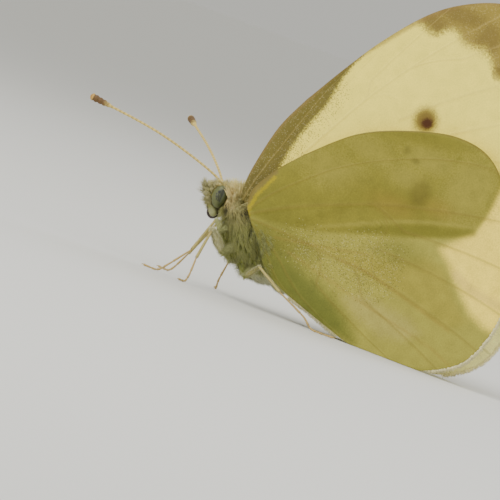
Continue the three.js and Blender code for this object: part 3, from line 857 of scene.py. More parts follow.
class TuftMaker:
    """Makes coats of flat tapered tufts from one pattern tuft."""

    TAPER = 0.65
    LEANING = 1.5

    def __init__(self, cuts: Sequence[float], seed: int) -> None:
        """Builds the pattern: a slim cone with cuts at shares of its height, so that it can bend."""
        bm = bmesh.new()
        lift = Matrix.Translation((0, 0, 0.5))
        bmesh.ops.create_cone(bm, cap_ends=True, segments=3, radius1=1.0, radius2=0.0, depth=1.0, matrix=lift)
        for cut in cuts:
            parts = bm.verts[:] + bm.edges[:] + bm.faces[:]
            bmesh.ops.bisect_plane(bm, geom=parts, plane_co=(0, 0, cut), plane_no=(0, 0, 1))
        bmesh.ops.remove_doubles(bm, verts=bm.verts[:], dist=1e-5)
        bmesh.ops.triangulate(bm, faces=bm.faces[:])
        bmesh.ops.recalc_face_normals(bm, faces=bm.faces[:])
        self.corners = np.array([vertex.co for vertex in bm.verts])
        self.faces = np.array([[vertex.index for vertex in face.verts] for face in bm.faces])
        self.random = np.random.default_rng(seed)
        bm.free()

    def coat(self, roots: Roots, name: str, masks: dict[str, Array]) -> Mesh:
        """Makes one mesh of tufts.

        Args:
            roots: where they grow and how.
            name: the mesh's name.
            masks: values for each tuft that the material reads.

        Returns:
            The mesh, in millimetres, with its bake map.
        """
        count, each = len(roots), len(self.corners)
        x, y, s = self.corners.T
        body = np.maximum(1 - s, 1e-6)
        taper = np.where(s > 0.999, 0.0, body**self.TAPER / body)
        rise = roots.rises[:, None]
        start = unit(roots.outs * rise + roots.lies * (1 - rise))
        end = unit(start + roots.lies * roots.curl)
        across = unit(np.cross(roots.outs, roots.lies))
        reach = s[None, :, None] * roots.lengths[:, None, None]
        bend = s[None, :, None] ** 2 * roots.lengths[:, None, None] / 2
        centres = roots.places[:, None, :] - roots.outs[:, None, :] * roots.sink
        centres = centres + start[:, None, :] * reach + (end - start)[:, None, :] * bend
        leans = np.broadcast_to(roots.leans, roots.places.shape)
        centres = centres + leans[:, None, :] * s[None, :, None] ** self.LEANING
        ways = unit(start[:, None, :] + (end - start)[:, None, :] * s[None, :, None])
        halves = roots.halves[:, None, None]
        places = centres + across[:, None, :] * halves * (x * taper)[None, :, None]
        places += np.cross(across[:, None, :], ways) * halves * roots.thin * (y * taper)[None, :, None]
        faces = (self.faces[None, :, :] + (np.arange(count) * each)[:, None, None]).reshape(-1, 3)
        mesh = bpy.data.meshes.new(name)
        mesh.from_pydata(places.reshape(-1, 3).tolist(), [], faces.tolist())
        tones = np.clip(self.random.random(count) + roots.shades, 0, 1)
        keep_values(mesh, {"along": np.tile(s, count), "tone": np.repeat(tones, each)})
        keep_values(mesh, {word: np.repeat(row, each) for word, row in masks.items()})
        spread = np.stack([x / 2 + 0.5, s], axis=-1) * BAKE_PATCH
        at_vertex = (roots.unwrap[:, None, :] + spread[None, :, :]).reshape(-1, 2)
        bake = mesh.uv_layers.new(name="OFBake")
        bake.data.foreach_set("uv", at_vertex[faces.ravel()].astype(np.float32).ravel())
        mesh.shade_smooth()
        return mesh


# ---- wings


@dataclass(frozen=True)
class Vein:
    """A vein as shares of its wing's width at the root, in the middle and at the margin."""

    name: str
    start: float
    middle: float
    end: float
    leaves: float = 0.0
    stem: Stem = Stem.NONE

    def line(self, lengths: Array) -> Array:
        """The share of the width where the vein runs at each share of the length."""
        return np.interp(lengths, [0, 0.5, 1], [self.start, self.middle, self.end])


@dataclass(frozen=True)
class WingPlan:
    """A wing in side view, as a curved sheet between its hinge and its outer margin."""

    hinge_front: Point
    hinge_rear: Point
    costal: tuple[Point, ...]
    inner: tuple[Point, ...]
    outer: tuple[Point, ...]

    def place(self, width: Array, length: Array) -> Array:
        """The side-view place of shares of the sheet's width and length."""
        across, along = width[..., None], length[..., None]
        front, rear = np.asarray(self.hinge_front), np.asarray(self.hinge_rear)
        hinge = front + (rear - front) * across
        place = hinge + (Curve(self.outer, mirrored=False).at(width) - hinge) * along
        sides = ((front, self.costal, self.outer[0], 1 - across), (rear, self.inner, self.outer[-1], across))
        for start, middle, end, share in sides:
            bowed = Curve((start, *middle, end), mirrored=False).at(length)
            place = place + (bowed - start - (end - start) * along) * share
        return place

    @property
    def root(self) -> Array:
        """The middle of the hinge."""
        return (np.asarray(self.hinge_front) + np.asarray(self.hinge_rear)) / 2

    def perimeter(self, steps: int = 60) -> tuple[Point, ...]:
        """The whole outline as points."""
        t = np.linspace(0, 1, steps)
        zero, one = np.zeros(steps), np.ones(steps)
        sides = [self.place(zero, t), self.place(t, one)[1:], self.place(one, t[::-1])[1:]]
        return points(np.vstack(sides))


@dataclass(frozen=True)
class WingSizes:
    """Thickness and relief of a real wing, finer than the solid's, and how finely its sheet is cut."""

    membrane_half: float = 0.045
    margin_half: float = 0.02
    margin_share: float = 0.02
    vein_half: Pair = (0.15, 0.08)
    vein_raise: Pair = (0.04, 0.02)
    vein_profile: tuple[float, ...] = (-1, -0.62, -0.3, 0, 0.3, 0.62, 1)
    vein_line: float = 0.45
    widest_vein: float = 0.022
    branch: float = 0.13
    pleat: float = 0.026
    pleat_blur: int = 15
    cell_end: float = 0.53
    cell_bow: float = 0.025
    rows: int = 170
    columns: int = 150
    least_gap: float = 2e-4
    lowest: float = 0.03


@dataclass(frozen=True)
class Bulge:
    """How the hindwings part round the abdomen: its middle's height from front to tail, and how far it reaches."""

    heights: Pair = (3.3, 1.7)
    span: Pair = (9, 18)
    fade: Pair = (13, 19)
    half: float = 2.2
    overlap: float = 0.35

    def share(self, x: Array, z: Array) -> Array:
        """How much of the bulge there is at side-view places."""
        front, tail = self.heights
        middle = front + (tail - front) * smooth(x, *self.span)
        return np.exp(-(((z - middle) / self.half) ** 2)) * (1 - smooth(x, *self.fade))


@dataclass(frozen=True)
class Fringe:
    """The scales along a wing's margin: how many, and which share of them is on the outer margin."""

    count: int = 2600
    outer: float = 0.9
    inner_reach: float = 2.0
    step: float = 0.002
    stray: Pair = (0.16, 0.08)
    offset: float = 0.02
    root: float = 0.06
    clear: float = 0.14
    lengths: Pair = (0.24, 0.4)
    halves: Pair = (0.045, 0.07)
    paleness: float = 0.12


@dataclass(frozen=True)
class RootHair:
    """The hair that lies from the body over a wing's root, where its fan says."""

    fan: Patch
    drawn: int = 12000
    locks: tuple[int, float] = (70, 0.5)
    way: Point = (0.8, 0.0, -0.55)
    stray: Pair = (0.22, 0.13)
    lengths: Pair = (0.45, 0.9)
    halves: Pair = (0.012, 0.022)
    rises: Pair = (0.04, 0.16)
    shade: float = -0.15
    pits: float = 0.02


@dataclass
class Wing:
    """One wing: its sheet with raised veins, the fringe on its margin and the long hair at its root."""

    FAR = 9.0

    kind: str
    side: Side
    plan: WingPlan
    veins: tuple[Vein, ...]
    cell: tuple[str, str]
    blade: float
    hinge: float
    flare: float
    finish: WingFinish
    sizes: WingSizes = WingSizes()
    abdomen: Bulge = Bulge()
    bulge: float = 0.0
    fringe_from: float = 0.4

    @property
    def name(self) -> str:
        """The name of the node that the wing stands for."""
        return f"{self.kind}_{self.side.word}"

    def stand(self, places: Array) -> Array:
        """How far from the body's middle the wing stands at side-view places."""
        reach = np.linalg.norm(places - self.plan.root, axis=-1)
        flare = (self.hinge - self.blade) * np.exp(-((reach / self.flare) ** 2))
        bulge = self.bulge * self.abdomen.share(places[..., 0], places[..., 1])
        return self.blade + np.maximum(flare, bulge) + self.abdomen.overlap * np.minimum(flare, bulge)

    def crests(self, lengths: Array) -> Array:
        """Where each vein's crest runs, as shares of the width: a row for each vein."""
        lines = np.array([vein.line(lengths) for vein in self.veins])
        crests = lines.copy()
        for index, vein in sorted(enumerate(self.veins), key=lambda pair: pair[1].leaves):
            if vein.stem is Stem.NONE:
                continue
            stem = index + vein.stem.value
            while self.veins[stem].leaves > vein.leaves:
                stem += vein.stem.value
            parted = smooth(lengths, vein.leaves, vein.leaves + self.sizes.branch)
            crests[index] = crests[stem] + (lines[index] - crests[stem]) * parted
        return crests

    def sheet(self) -> dict[str, Array]:
        """Works out the sheet: a value for every row and column under each name."""
        sizes = self.sizes
        lengths = np.linspace(0, 1, sizes.rows + 1)
        crests = self.crests(lengths)
        near, far = (self.plan.place(np.full_like(lengths, share), lengths) for share in (0.1, 0.9))
        row_width = np.linalg.norm(near - far, axis=1) / (0.9 - 0.1)
        widths = self._column_shares(lengths, crests, row_width)
        gaps = np.abs(widths[:, :, None] - crests.T[:, None, :])
        is_open = lengths[:, None] >= np.array([vein.leaves for vein in self.veins])
        away = np.where(is_open[:, None, :], gaps, self.FAR).min(axis=2) * row_width[:, None]
        away = np.minimum(away, self._cell_end_gap(widths, lengths, crests))
        half, raised = (np.interp(lengths, [0, 1], ends)[:, None] for ends in (sizes.vein_half, sizes.vein_raise))
        return {
            "width": widths,
            "length": np.broadcast_to(lengths[:, None], widths.shape),
            "ridge": np.clip(1 - (away / half) ** 2, 0, 1) ** 1.5 * raised,
            "pleat": self._pleats(widths, crests, is_open, row_width),
            "vein": np.exp(-((away / (sizes.vein_line * half)) ** 2)),
        }

    def _column_shares(self, lengths: Array, crests: Array, row_width: Array) -> Array:
        """Where the columns run, as shares of the width: even between the veins and closer over each of them."""
        sizes = self.sizes
        feet = np.minimum(np.interp(lengths, [0, 1], sizes.vein_half) / row_width, sizes.widest_vein)
        ends = np.array([0, *(vein.end for vein in self.veins), 1])
        counts = np.maximum(np.round(np.diff(ends) * sizes.columns), 2).astype(int)
        columns = [np.zeros_like(lengths)]
        for count, crest in zip(counts, [*crests, None]):
            start, end = columns[-1], np.ones_like(lengths) if crest is None else crest - feet
            columns.extend(start + (end - start) * step / (count + 1) for step in range(1, count + 1))
            columns.extend([end] if crest is None else (crest + share * feet for share in sizes.vein_profile))
        widths = np.maximum.accumulate(np.clip(np.array(columns).T, 0, 1), axis=1)
        widths += np.arange(widths.shape[1]) * sizes.least_gap
        return (widths - widths[:, :1]) / (widths[:, -1:] - widths[:, :1])

    def _pleats(self, widths: Array, crests: Array, is_open: Array, row_width: Array) -> Array:
        """How far the membrane arches between its veins, evened out along the wing."""
        pleat = np.zeros_like(widths)
        for row, width in enumerate(widths):
            edges = np.unique(np.concatenate([[0, 1], crests[:, row][is_open[row]]]))
            index = np.clip(np.searchsorted(edges, width, side="right") - 1, 0, len(edges) - 2)
            gap = edges[index + 1] - edges[index]
            share = (width - edges[index]) / np.maximum(gap, 1e-6)
            pleat[row] = np.sin(math.pi * share) * gap * row_width[row] * self.sizes.pleat
        blur = self.sizes.pleat_blur
        padded = np.pad(pleat, ((blur // 2, blur // 2), (0, 0)), mode="edge")
        return np.apply_along_axis(np.convolve, 0, padded, np.ones(blur) / blur, mode="valid")

    def _cell_end_gap(self, widths: Array, lengths: Array, crests: Array) -> Array:
        """How far in millimetres each place is from the short vein that closes the wing's middle cell."""
        names = [vein.name for vein in self.veins]
        front, rear = (crests[names.index(word)][:, None] for word in self.cell)
        share = np.clip((widths - front) / (rear - front), 0, 1)
        bow = self.sizes.cell_end + self.sizes.cell_bow * np.sin(2 * math.pi * share)
        between = (widths > front) & (widths < rear)
        run = np.linalg.norm(self.plan.place(np.array([0.5]), np.array([1.0]))[0] - self.plan.root)
        return np.where(between, np.abs(lengths[:, None] - bow) * run, self.FAR)

    def build(self, effects: Effects, stance: Stance) -> None:
        """Builds the wing and its fringe."""
        values = self.sheet()
        rows, columns = values["width"].shape
        mesh = self._blank_sheet(columns - 1, rows - 1)
        spots = corners_of(mesh)
        column, row = (np.round(spots[:, axis] * (count - 1)).astype(int) for axis, count in enumerate((columns, rows)))
        is_inner = spots[:, 2] > 0.5
        picked = {word: grid[row, column] for word, grid in values.items()}
        width, length = picked["width"], picked["length"]
        places = self.plan.place(width, length)
        is_margin = (column == 0) | (column == columns - 1) | (row == rows - 1)
        from_margin = np.minimum(np.minimum(width, 1 - width), 1 - length)
        thin = np.minimum(from_margin / self.sizes.margin_share, 1)
        half = self.sizes.margin_half + (self.sizes.membrane_half - self.sizes.margin_half) * thin
        half = half + np.where(is_margin, 0, picked["ridge"])
        away = self.stand(places) + picked["pleat"] * thin + np.where(is_inner, -half, half)
        final = self._in_space(places, away, self.sizes.lowest)
        mesh.vertices.foreach_set("co", final.ravel())
        keep_values(mesh, self._masks(places, is_inner.astype(float), picked["vein"], 0.0))
        finished = mesh_of(taken_up(mesh), f"{self.name}_membrane")
        material = self.finish.material(effects, stance)
        place_piece(finished, material, stance, [self.name])
        self._build_fringe(Fringe(), material, stance)

    def _in_space(self, places: Array, away: Array, lowest: float = -math.inf) -> Array:
        """Places in space, from side-view places, how far out they are and how low they may be."""
        return np.stack([places[:, 0], self.side.value * away, np.maximum(places[:, 1], lowest)], axis=1)

    def _masks(
        self, places: Array, upper: Array | float, vein: Array | float, fringe: float
    ) -> dict[str, Array]:
        """What the wing's material reads at side-view places."""
        masks = {layer.name: layer.mask(places) for layer in self.finish.layers}
        shares = {"upper": upper, "vein": vein, "fringe": fringe}
        return masks | {word: np.broadcast_to(share, len(places)) for word, share in shares.items()}

    def build_root_hair(self, hair: RootHair, material: Material, stance: Stance) -> None:
        """Lays hair from the body over the wing's root."""
        random = np.random.default_rng(81 + self.side.value)
        low, high = np.min(hair.fan.outline, axis=0), np.max(hair.fan.outline, axis=0)
        drawn = random.uniform(low, high, (hair.drawn, 2))
        is_rooted = hair.fan.mask(drawn) > random.random(len(drawn))
        here = drawn[is_rooted & is_inside(drawn, np.asarray(self.plan.perimeter()))]
        count = len(here)
        places = self._in_space(here, self.stand(here) + self.sizes.membrane_half)
        outs = np.tile([0.0, self.side.value, 0.0], (count, 1))
        locks = Locks.gather(places, *hair.locks, 83)
        by_lock, by_hair = hair.stray
        lies = hair.way + locks.turns * by_lock + random.normal(0, by_hair, (count, 3))
        roots = Roots(
            places, outs, flattened(lies, outs),
            lengths=random.uniform(*hair.lengths, count) * locks.stretches,
            halves=random.uniform(*hair.halves, count),
            rises=random.uniform(*hair.rises, count),
            unwrap=0.01 + 0.97 * (here - low) / (high - low),
            shades=locks.shades + hair.shade,
            leans=locks.leans,
            curl=0.4,
        )
        pits = (random.random(count) < hair.pits).astype(float)
        masks = body_masks(places) | {"flank": np.ones(count), "dark_pits": pits}
        mesh = TuftMaker(LONG_CUTS, 82).coat(roots, f"{self.name}_root_hair", masks)
        place_piece(mesh, material, stance)

    @staticmethod
    def _blank_sheet(columns: int, rows: int) -> Mesh:
        """A closed sheet of two equal grids from 0 to 1, one above the other, joined round the rim."""
        bm = bmesh.new()
        middle = Matrix.Translation((0.5, 0.5, 0))
        bmesh.ops.create_grid(bm, x_segments=columns, y_segments=rows, size=0.5, matrix=middle)
        twin = bmesh.ops.duplicate(bm, geom=bm.verts[:] + bm.edges[:] + bm.faces[:])["geom"]
        lifted = [part for part in twin if isinstance(part, bmesh.types.BMVert)]
        bmesh.ops.translate(bm, verts=lifted, vec=(0, 0, 1))
        rim = [edge for edge in bm.edges if edge.is_boundary]
        bmesh.ops.bridge_loops(bm, edges=rim)
        return mesh_of(bm, "blank_sheet")

    def _build_fringe(self, fringe: Fringe, material: Material, stance: Stance) -> None:
        """Sets fine flat scales along the outer and the inner margin."""
        random = np.random.default_rng(7 + len(self.name) + self.side.value)
        count = fringe.count
        share = np.sort(random.random(count))
        on_outer = share < fringe.outer

        def margin(step: float) -> tuple[Array, Array]:
            """Shares of the width and the length, some steps further along the margin."""
            width = self.fringe_from + (1 - self.fringe_from) * share / fringe.outer + step
            length = 1 - (share - fringe.outer) * fringe.inner_reach - step
            return np.where(on_outer, width, 1.0), np.where(on_outer, 1.0, length)

        here, ahead, back = (self.plan.place(*margin(step)) for step in (0.0, fringe.step, -fringe.step))
        run = unit(ahead - back)
        outward = np.stack([-run[:, 1], run[:, 0]], axis=1)
        along, aside = fringe.stray
        outward = unit(outward + run * random.normal(0, along, count)[:, None])
        away = self.stand(here) + random.uniform(-fringe.offset, fringe.offset, count)
        places = self._in_space(here, away, fringe.clear)
        lies = np.stack([outward[:, 0], random.normal(0, aside, count), outward[:, 1]], axis=1)
        is_low = places[:, 2] + lies[:, 2] * 0.3 < self.sizes.lowest
        lies[is_low, 2] = np.abs(lies[is_low, 2]) * 0.1
        outs = np.tile([0.0, self.side.value, 0.0], (count, 1))
        lies = flattened(lies, outs)
        roots = Roots(
            places - lies * fringe.root, outs, lies,
            lengths=random.uniform(*fringe.lengths, count),
            halves=random.uniform(*fringe.halves, count) * np.where(is_low, 0.5, 1.0),
            rises=np.zeros(count),
            unwrap=0.02 + 0.95 * np.stack(margin(0.0), axis=1),
            curl=0.0,
            sink=0.0,
            thin=0.22,
        )
        masks = self._masks(here, fringe.paleness, 0.0, 1.0)
        mesh = TuftMaker(SHORT_CUTS, 3).coat(roots, f"{self.name}_fringe", masks)
        place_piece(mesh, material, stance)


FORE_PLAN = WingPlan(
    hinge_front=(5.25, 6.95),
    hinge_rear=(6.95, 6.1),
    costal=((5.2, 9), (5.9, 12.5)),
    inner=((11, 6.6), (15.5, 7.9)),
    outer=(
        (7.2, 15.2), (11, 20.9), (14.9, 24.8), (19.6, 26.4), (22.2, 24),
        (23.2, 18), (23.1, 13), (22.2, 10.4), (19.5, 9.1),
    ),
)
FORE_VEINS = (
    Vein("Sc", 0.14, 0.15, 0.15),
    Vein("R1", 0.3, 0.25, 0.22, 0.36, Stem.NEXT),
    Vein("R2", 0.33, 0.34, 0.33, 0.5, Stem.NEXT),
    Vein("R4+5", 0.36, 0.39, 0.46),
    Vein("M1", 0.4, 0.44, 0.525, 0.66, Stem.PREVIOUS),
    Vein("M2", 0.5, 0.53, 0.605, 0.53),
    Vein("M3", 0.63, 0.63, 0.687),
    Vein("CuA1", 0.66, 0.69, 0.768, 0.43, Stem.PREVIOUS),
    Vein("CuA2", 0.7, 0.77, 0.845, 0.28, Stem.PREVIOUS),
    Vein("2A", 0.85, 0.9, 0.93),
)
HIND_PLAN = WingPlan(
    hinge_front=(6.35, 6.6),
    hinge_rear=(7.3, 5.4),
    costal=((6.3, 7.9), (7.4, 9.8)),
    inner=((8.2, 4.35), (9.2, 2.9), (10.8, 1.95)),
    outer=(
        (8.9, 11.5), (12, 14.1), (15.5, 15.6), (19.2, 16.4), (22.2, 15.7), (24.6, 12.9), (26.2, 9.2),
        (26.75, 5.6), (25.5, 1.9), (22.6, 0.08), (20, -0.16), (17.4, -0.08), (15.3, 0.5), (13, 1.3),
    ),
)
HIND_VEINS = (
    Vein("Sc+R1", 0.2, 0.22, 0.36),
    Vein("Rs", 0.38, 0.4, 0.45),
    Vein("M1", 0.42, 0.46, 0.53, 0.5, Stem.PREVIOUS),
    Vein("M2", 0.5, 0.53, 0.6, 0.53),
    Vein("M3", 0.6, 0.61, 0.67),
    Vein("CuA1", 0.63, 0.68, 0.745, 0.43, Stem.PREVIOUS),
    Vein("CuA2", 0.68, 0.76, 0.82, 0.28, Stem.PREVIOUS),
    Vein("2A", 0.8, 0.87, 0.9),
    Vein("3A", 0.91, 0.95, 0.965),
)

# Marks of the forewing, on its own side-view places.
COSTAL_BAND = Patch(
    (
        (5.5, 6.6), (4.8, 7.2), (4.7, 9), (5.2, 11.3), (5.7, 12.9), (6.4, 14.8), (7.2, 16.6), (8.2, 18.2),
        (9.4, 19.9), (10.8, 21.6), (12.3, 23.2), (12.6, 22.9), (11.3, 21.3), (10.16, 19.75), (9.62, 18.53),
        (9.25, 17.5), (9.05, 16.52), (8.82, 15.43), (8.35, 14.26), (7.82, 12.92), (7.45, 11.63), (7.25, 10.5),
        (7.15, 9.41), (6.9, 7.9), (6.6, 6.6),
    ),
    0.24,
)
BAND_EDGE = Stroke(
    ((7.1, 9.6), (7.3, 10.6), (7.6, 11.6), (8, 12.9), (8.5, 14.2), (9, 15.4), (9.3, 16.5)), 0.25, 0.9
)
COSTAL_RIM = Stroke(
    ((5, 8.7), (5.2, 10), (5.6, 11.8), (6.2, 13.4), (7.2, 15.2), (8.4, 17.4), (9.6, 19.2), (11, 20.9),
     (12.9, 23), (14.9, 24.8), (17.2, 26.1), (19.6, 26.4)),
    0.1, 0.34,
)
APEX_DUSK = (
    Spot((14.3, 23.3), (1, 0.7), 0.5),
    Spot((15.9, 24.6), (2, 0.6), 0.6),
    Spot((18.5, 23.6), (0.9, 1.1), 0.5),
    Spot((20, 21.6), (0.4, 0.5), 0.3),
)
# The upper face's dark tip as the backlight shows it through the wing: painted shade on the under face.
APEX = Patch(
    (
        (12, 22.6), (12.6, 23.9), (14.5, 25.8), (17, 27.2), (20, 27.4), (23.2, 25), (24.2, 19),
        (24.2, 14), (23, 14.4), (22.7, 15.6), (22.9, 16.6), (22.3, 17.6), (22.5, 18.4), (21.7, 19.3),
        (21.7, 20.2), (20.9, 20.9), (20.4, 21.38), (19.73, 21.51), (19.03, 22.5), (18.46, 23.05), (17.64, 22.7),
        (16.8, 22.79), (16.04, 23.4), (15.17, 23.22), (14.71, 22.69), (13.91, 22.93), (13.1, 23.1),
    ),
    0.42,
)
HIGH_SPOT = Spot((16.17, 16.72), (0.9, 0.92), 0.5)
HIGH_SPOT_CORE = Spot((16.36, 16.56), (0.43, 0.38), 0.4)
LOW_SPOT = Spot((17.8, 11.79), (0.75, 0.8), 0.3)
FORE_ROOT = Spot((6, 7), (2.4, 2.4), 0.5)

# Marks of the hindwing, on side-view places too, with painted light and shade of the backlit wings among them.
# Painted shade: the hindwing is darker where the forewing lies behind it and lets less backlight through, drawn as the
# forewing's outline shifted into the hindwing's plane.
OVERLAP_SHIFT = 0.38
OVERLAP_SHADE = Patch(tuple((x + OVERLAP_SHIFT, z) for x, z in FORE_PLAN.perimeter()), 0.22)
# Lighter and darker clouds within the painted overlap shade.
OVERLAP_SHADE_LIGHTER = (
    Spot((11.2, 11.2), (2.4, 1.3), 0.8), Spot((13.6, 13.4), (2, 0.9), 0.8), Spot((17.8, 14.2), (2.4, 1), 0.7),
    Spot((21.4, 13.2), (2, 2.6), 0.6), Spot((16.8, 12.5), (1.6, 0.8), 0.8),
)
OVERLAP_SHADE_DARKER = (
    Spot((14.3, 10.4), (2, 1.1), 0.9), Spot((16.6, 15.4), (1.7, 0.45), 0.7), Spot((17.2, 10.6), (1.8, 0.9), 0.8),
    Patch(((9.7, 6.5), (12.1, 8.5), (13.8, 9.9), (14.4, 9.7), (12.7, 8.2), (10.6, 6.8)), 0.35),
)
# Painted shade: a darker band where the forewing's inner margin lies behind the hindwing, with a painted light line
# just above it.
FORE_EDGE_SHADE = Patch(
    ((14.5, 7.95), (15.94, 8.6), (17.58, 9.25), (19.51, 9.85), (21.48, 10.38), (22.9, 10.7), (22.9, 10.3),
     (21.7, 9.75), (19.9, 9.1), (18, 8.5), (16, 7.95), (14, 7.5)),
    0.22,
)
FORE_EDGE_LIGHT = Stroke(
    ((11.1, 6.7), (14.4, 8.17), (15.9, 8.82), (17.5, 9.46), (19.45, 10.08), (21.4, 10.57), (22.8, 10.9)), 0.03, 0.2
)
SUNLIT = Patch(
    (
        (20.87, 8.61), (21.8, 7.87), (22.8, 6.77), (23.69, 5.93), (24.71, 4.99), (25.76, 4.59), (26.6, 4.4),
        (28, 4.6), (28, 15), (24, 16.5), (22.6, 16), (22.9, 12), (22.9, 10.6),
    ),
    0.5,
)
INNER_GREEN = Patch(
    ((7.4, 5.4), (9.4, 4.6), (10.9, 4.2), (12.6, 3.6), (14.6, 2.8), (16.1, 1.7), (17.2, 0.3), (14, 0),
     (11.8, 1.2), (10.1, 1.9), (8.4, 3), (7.4, 4.4)),
    0.9,
)
LOW_BLOTCH = Patch(
    ((15.3, 2.9), (16.4, 3.6), (18, 3.5), (20.4, 3.2), (21.6, 2.5), (20.7, 1.6), (18.8, 1.3), (16.8, 1.9)),
    0.55,
)
SUNLIT_DUSK = Stroke(((22.6, 7.3), (24.4, 6.55), (26.7, 6.3)), 0.1, 0.45)
SPECKLED = Patch(
    ((9.5, 5.7), (10.5, 6.3), (13.6, 6.8), (16.4, 8), (18.4, 7.3), (18.6, 5), (17, 3.3), (13.85, 3.8),
     (11.2, 4.4), (10, 4.8)),
    1.1,
)
SAFFRON = Stroke(
    ((7.48, 9.18), (7.12, 8.36), (6.77, 7.63), (6.67, 6.98), (6.62, 6.35), (6.92, 5.57)), 0, 0.26
)
HIND_FRONT = Patch(
    ((6.15, 6.3), (6.05, 8), (7.3, 10), (7.6, 9.6), (7.1, 8.4), (6.75, 7.6), (6.6, 7), (6.6, 6.4)), 0.12
)
HIND_COSTAL_RIM = Stroke(
    ((6.3, 7), (6.35, 7.9), (7.4, 9.8), (8.9, 11.5), (12, 14.1), (15.5, 15.6), (19.2, 16.4), (22.2, 15.7),
     (24, 13.8)),
    0.03, 0.14,
)
SMUDGES = (Spot((16, 14.3), (0.2, 0.3), 0.7), Spot((16.85, 13.8), (0.3, 0.2), 0.7))
# Painted shadow of the forewing's lower spot, which lies behind the backlit hindwing.
FORE_SPOT_SHADOW = Spot((18.05, 11.7), (0.75, 1.05), 0.6)
WARM_TINT = (Spot((16.4, 10.3), (1.6, 0.7), 0.8), Spot((19.6, 11.2), (1.2, 0.6), 0.8))
WARM_LINES = (
    Stroke(((9.14, 5.24), (12.32, 5.75), (15.96, 6.4)), 0.02, 0.14),
    Stroke(((14.12, 5.36), (16.43, 5.2), (21, 4.1), (23.46, 3.42)), 0.02, 0.16),
    Stroke(((10.4, 4.6), (14.83, 3.55), (18.5, 2.69), (22.1, 1.96), (24.6, 1.15)), 0.02, 0.14),
)
PALE_PANEL = Patch(
    ((12.6, 5.6), (16.5, 6.4), (20, 7.6), (21.6, 7.4), (23.2, 5.6), (24.6, 4.4), (23.4, 3.4), (20, 4.4),
     (15.5, 5.2)),
    0.5,
)
NEAR_DUSK = (
    Spot((9.3, 4.9), (1.4, 1.1), 0.8), Spot((11.1, 4.9), (1.4, 0.8), 0.8), Spot((18.2, 7.4), (1.6, 0.9), 0.8),
)
HIND_ROOT = Spot((7.8, 5.2), (3.4, 2.8), 0.8)
UPPER_HIND_SPOT = Spot((13.2, 13.6), (0.75, 0.6), 0.3)

FORE_FINISH = WingFinish(
    name="forewing scales",
    under="#f5e35e",
    upper="#f4f0cc",
    vein_tint="#c9b062",
    vein_strength=0.2,
    fringe_tint="#f2e8a8",
    layers=(
        Layer("root_dusk", "#928a46", (FORE_ROOT,), 0.6),
        Layer("band_specks", "#6c5c24", (BAND_EDGE,), 0.85, flecks=0.55),
        Layer("costal_band", "#52481a", (COSTAL_BAND,), 0.93, grain=1.0),
        Layer("band_light", "#958a58", (COSTAL_BAND,), 0.7, flecks=0.35),
        # Painted shade: the upper face's dark tip shown through the wing.
        Layer("apex", "#776229", (APEX,), 0.88, grain=0.6),
        Layer("apex_light", "#b0a05e", (APEX,), 0.6, flecks=0.35),
        Layer("apex_dusk", "#5c4a20", APEX_DUSK, 0.5, grain=0.9),
        Layer("costal_rim", "#7f6632", (COSTAL_RIM,), 0.6, grain=0.4),
        Layer("high_spot", "#553c14", (HIGH_SPOT, LOW_SPOT), 0.9, grain=0.3),
        Layer("high_spot_core", "#401b00", (HIGH_SPOT_CORE,), 0.95, grain=0.4),
        Layer("upper_apex", "#4b4742", (APEX,), 0.95, face=Face.UPPER),
        Layer("upper_spots", "#3f3b38", (HIGH_SPOT, LOW_SPOT), 0.95, face=Face.UPPER),
        Layer("upper_root", "#8b887c", (FORE_ROOT,), 0.7, face=Face.UPPER),
    ),
)

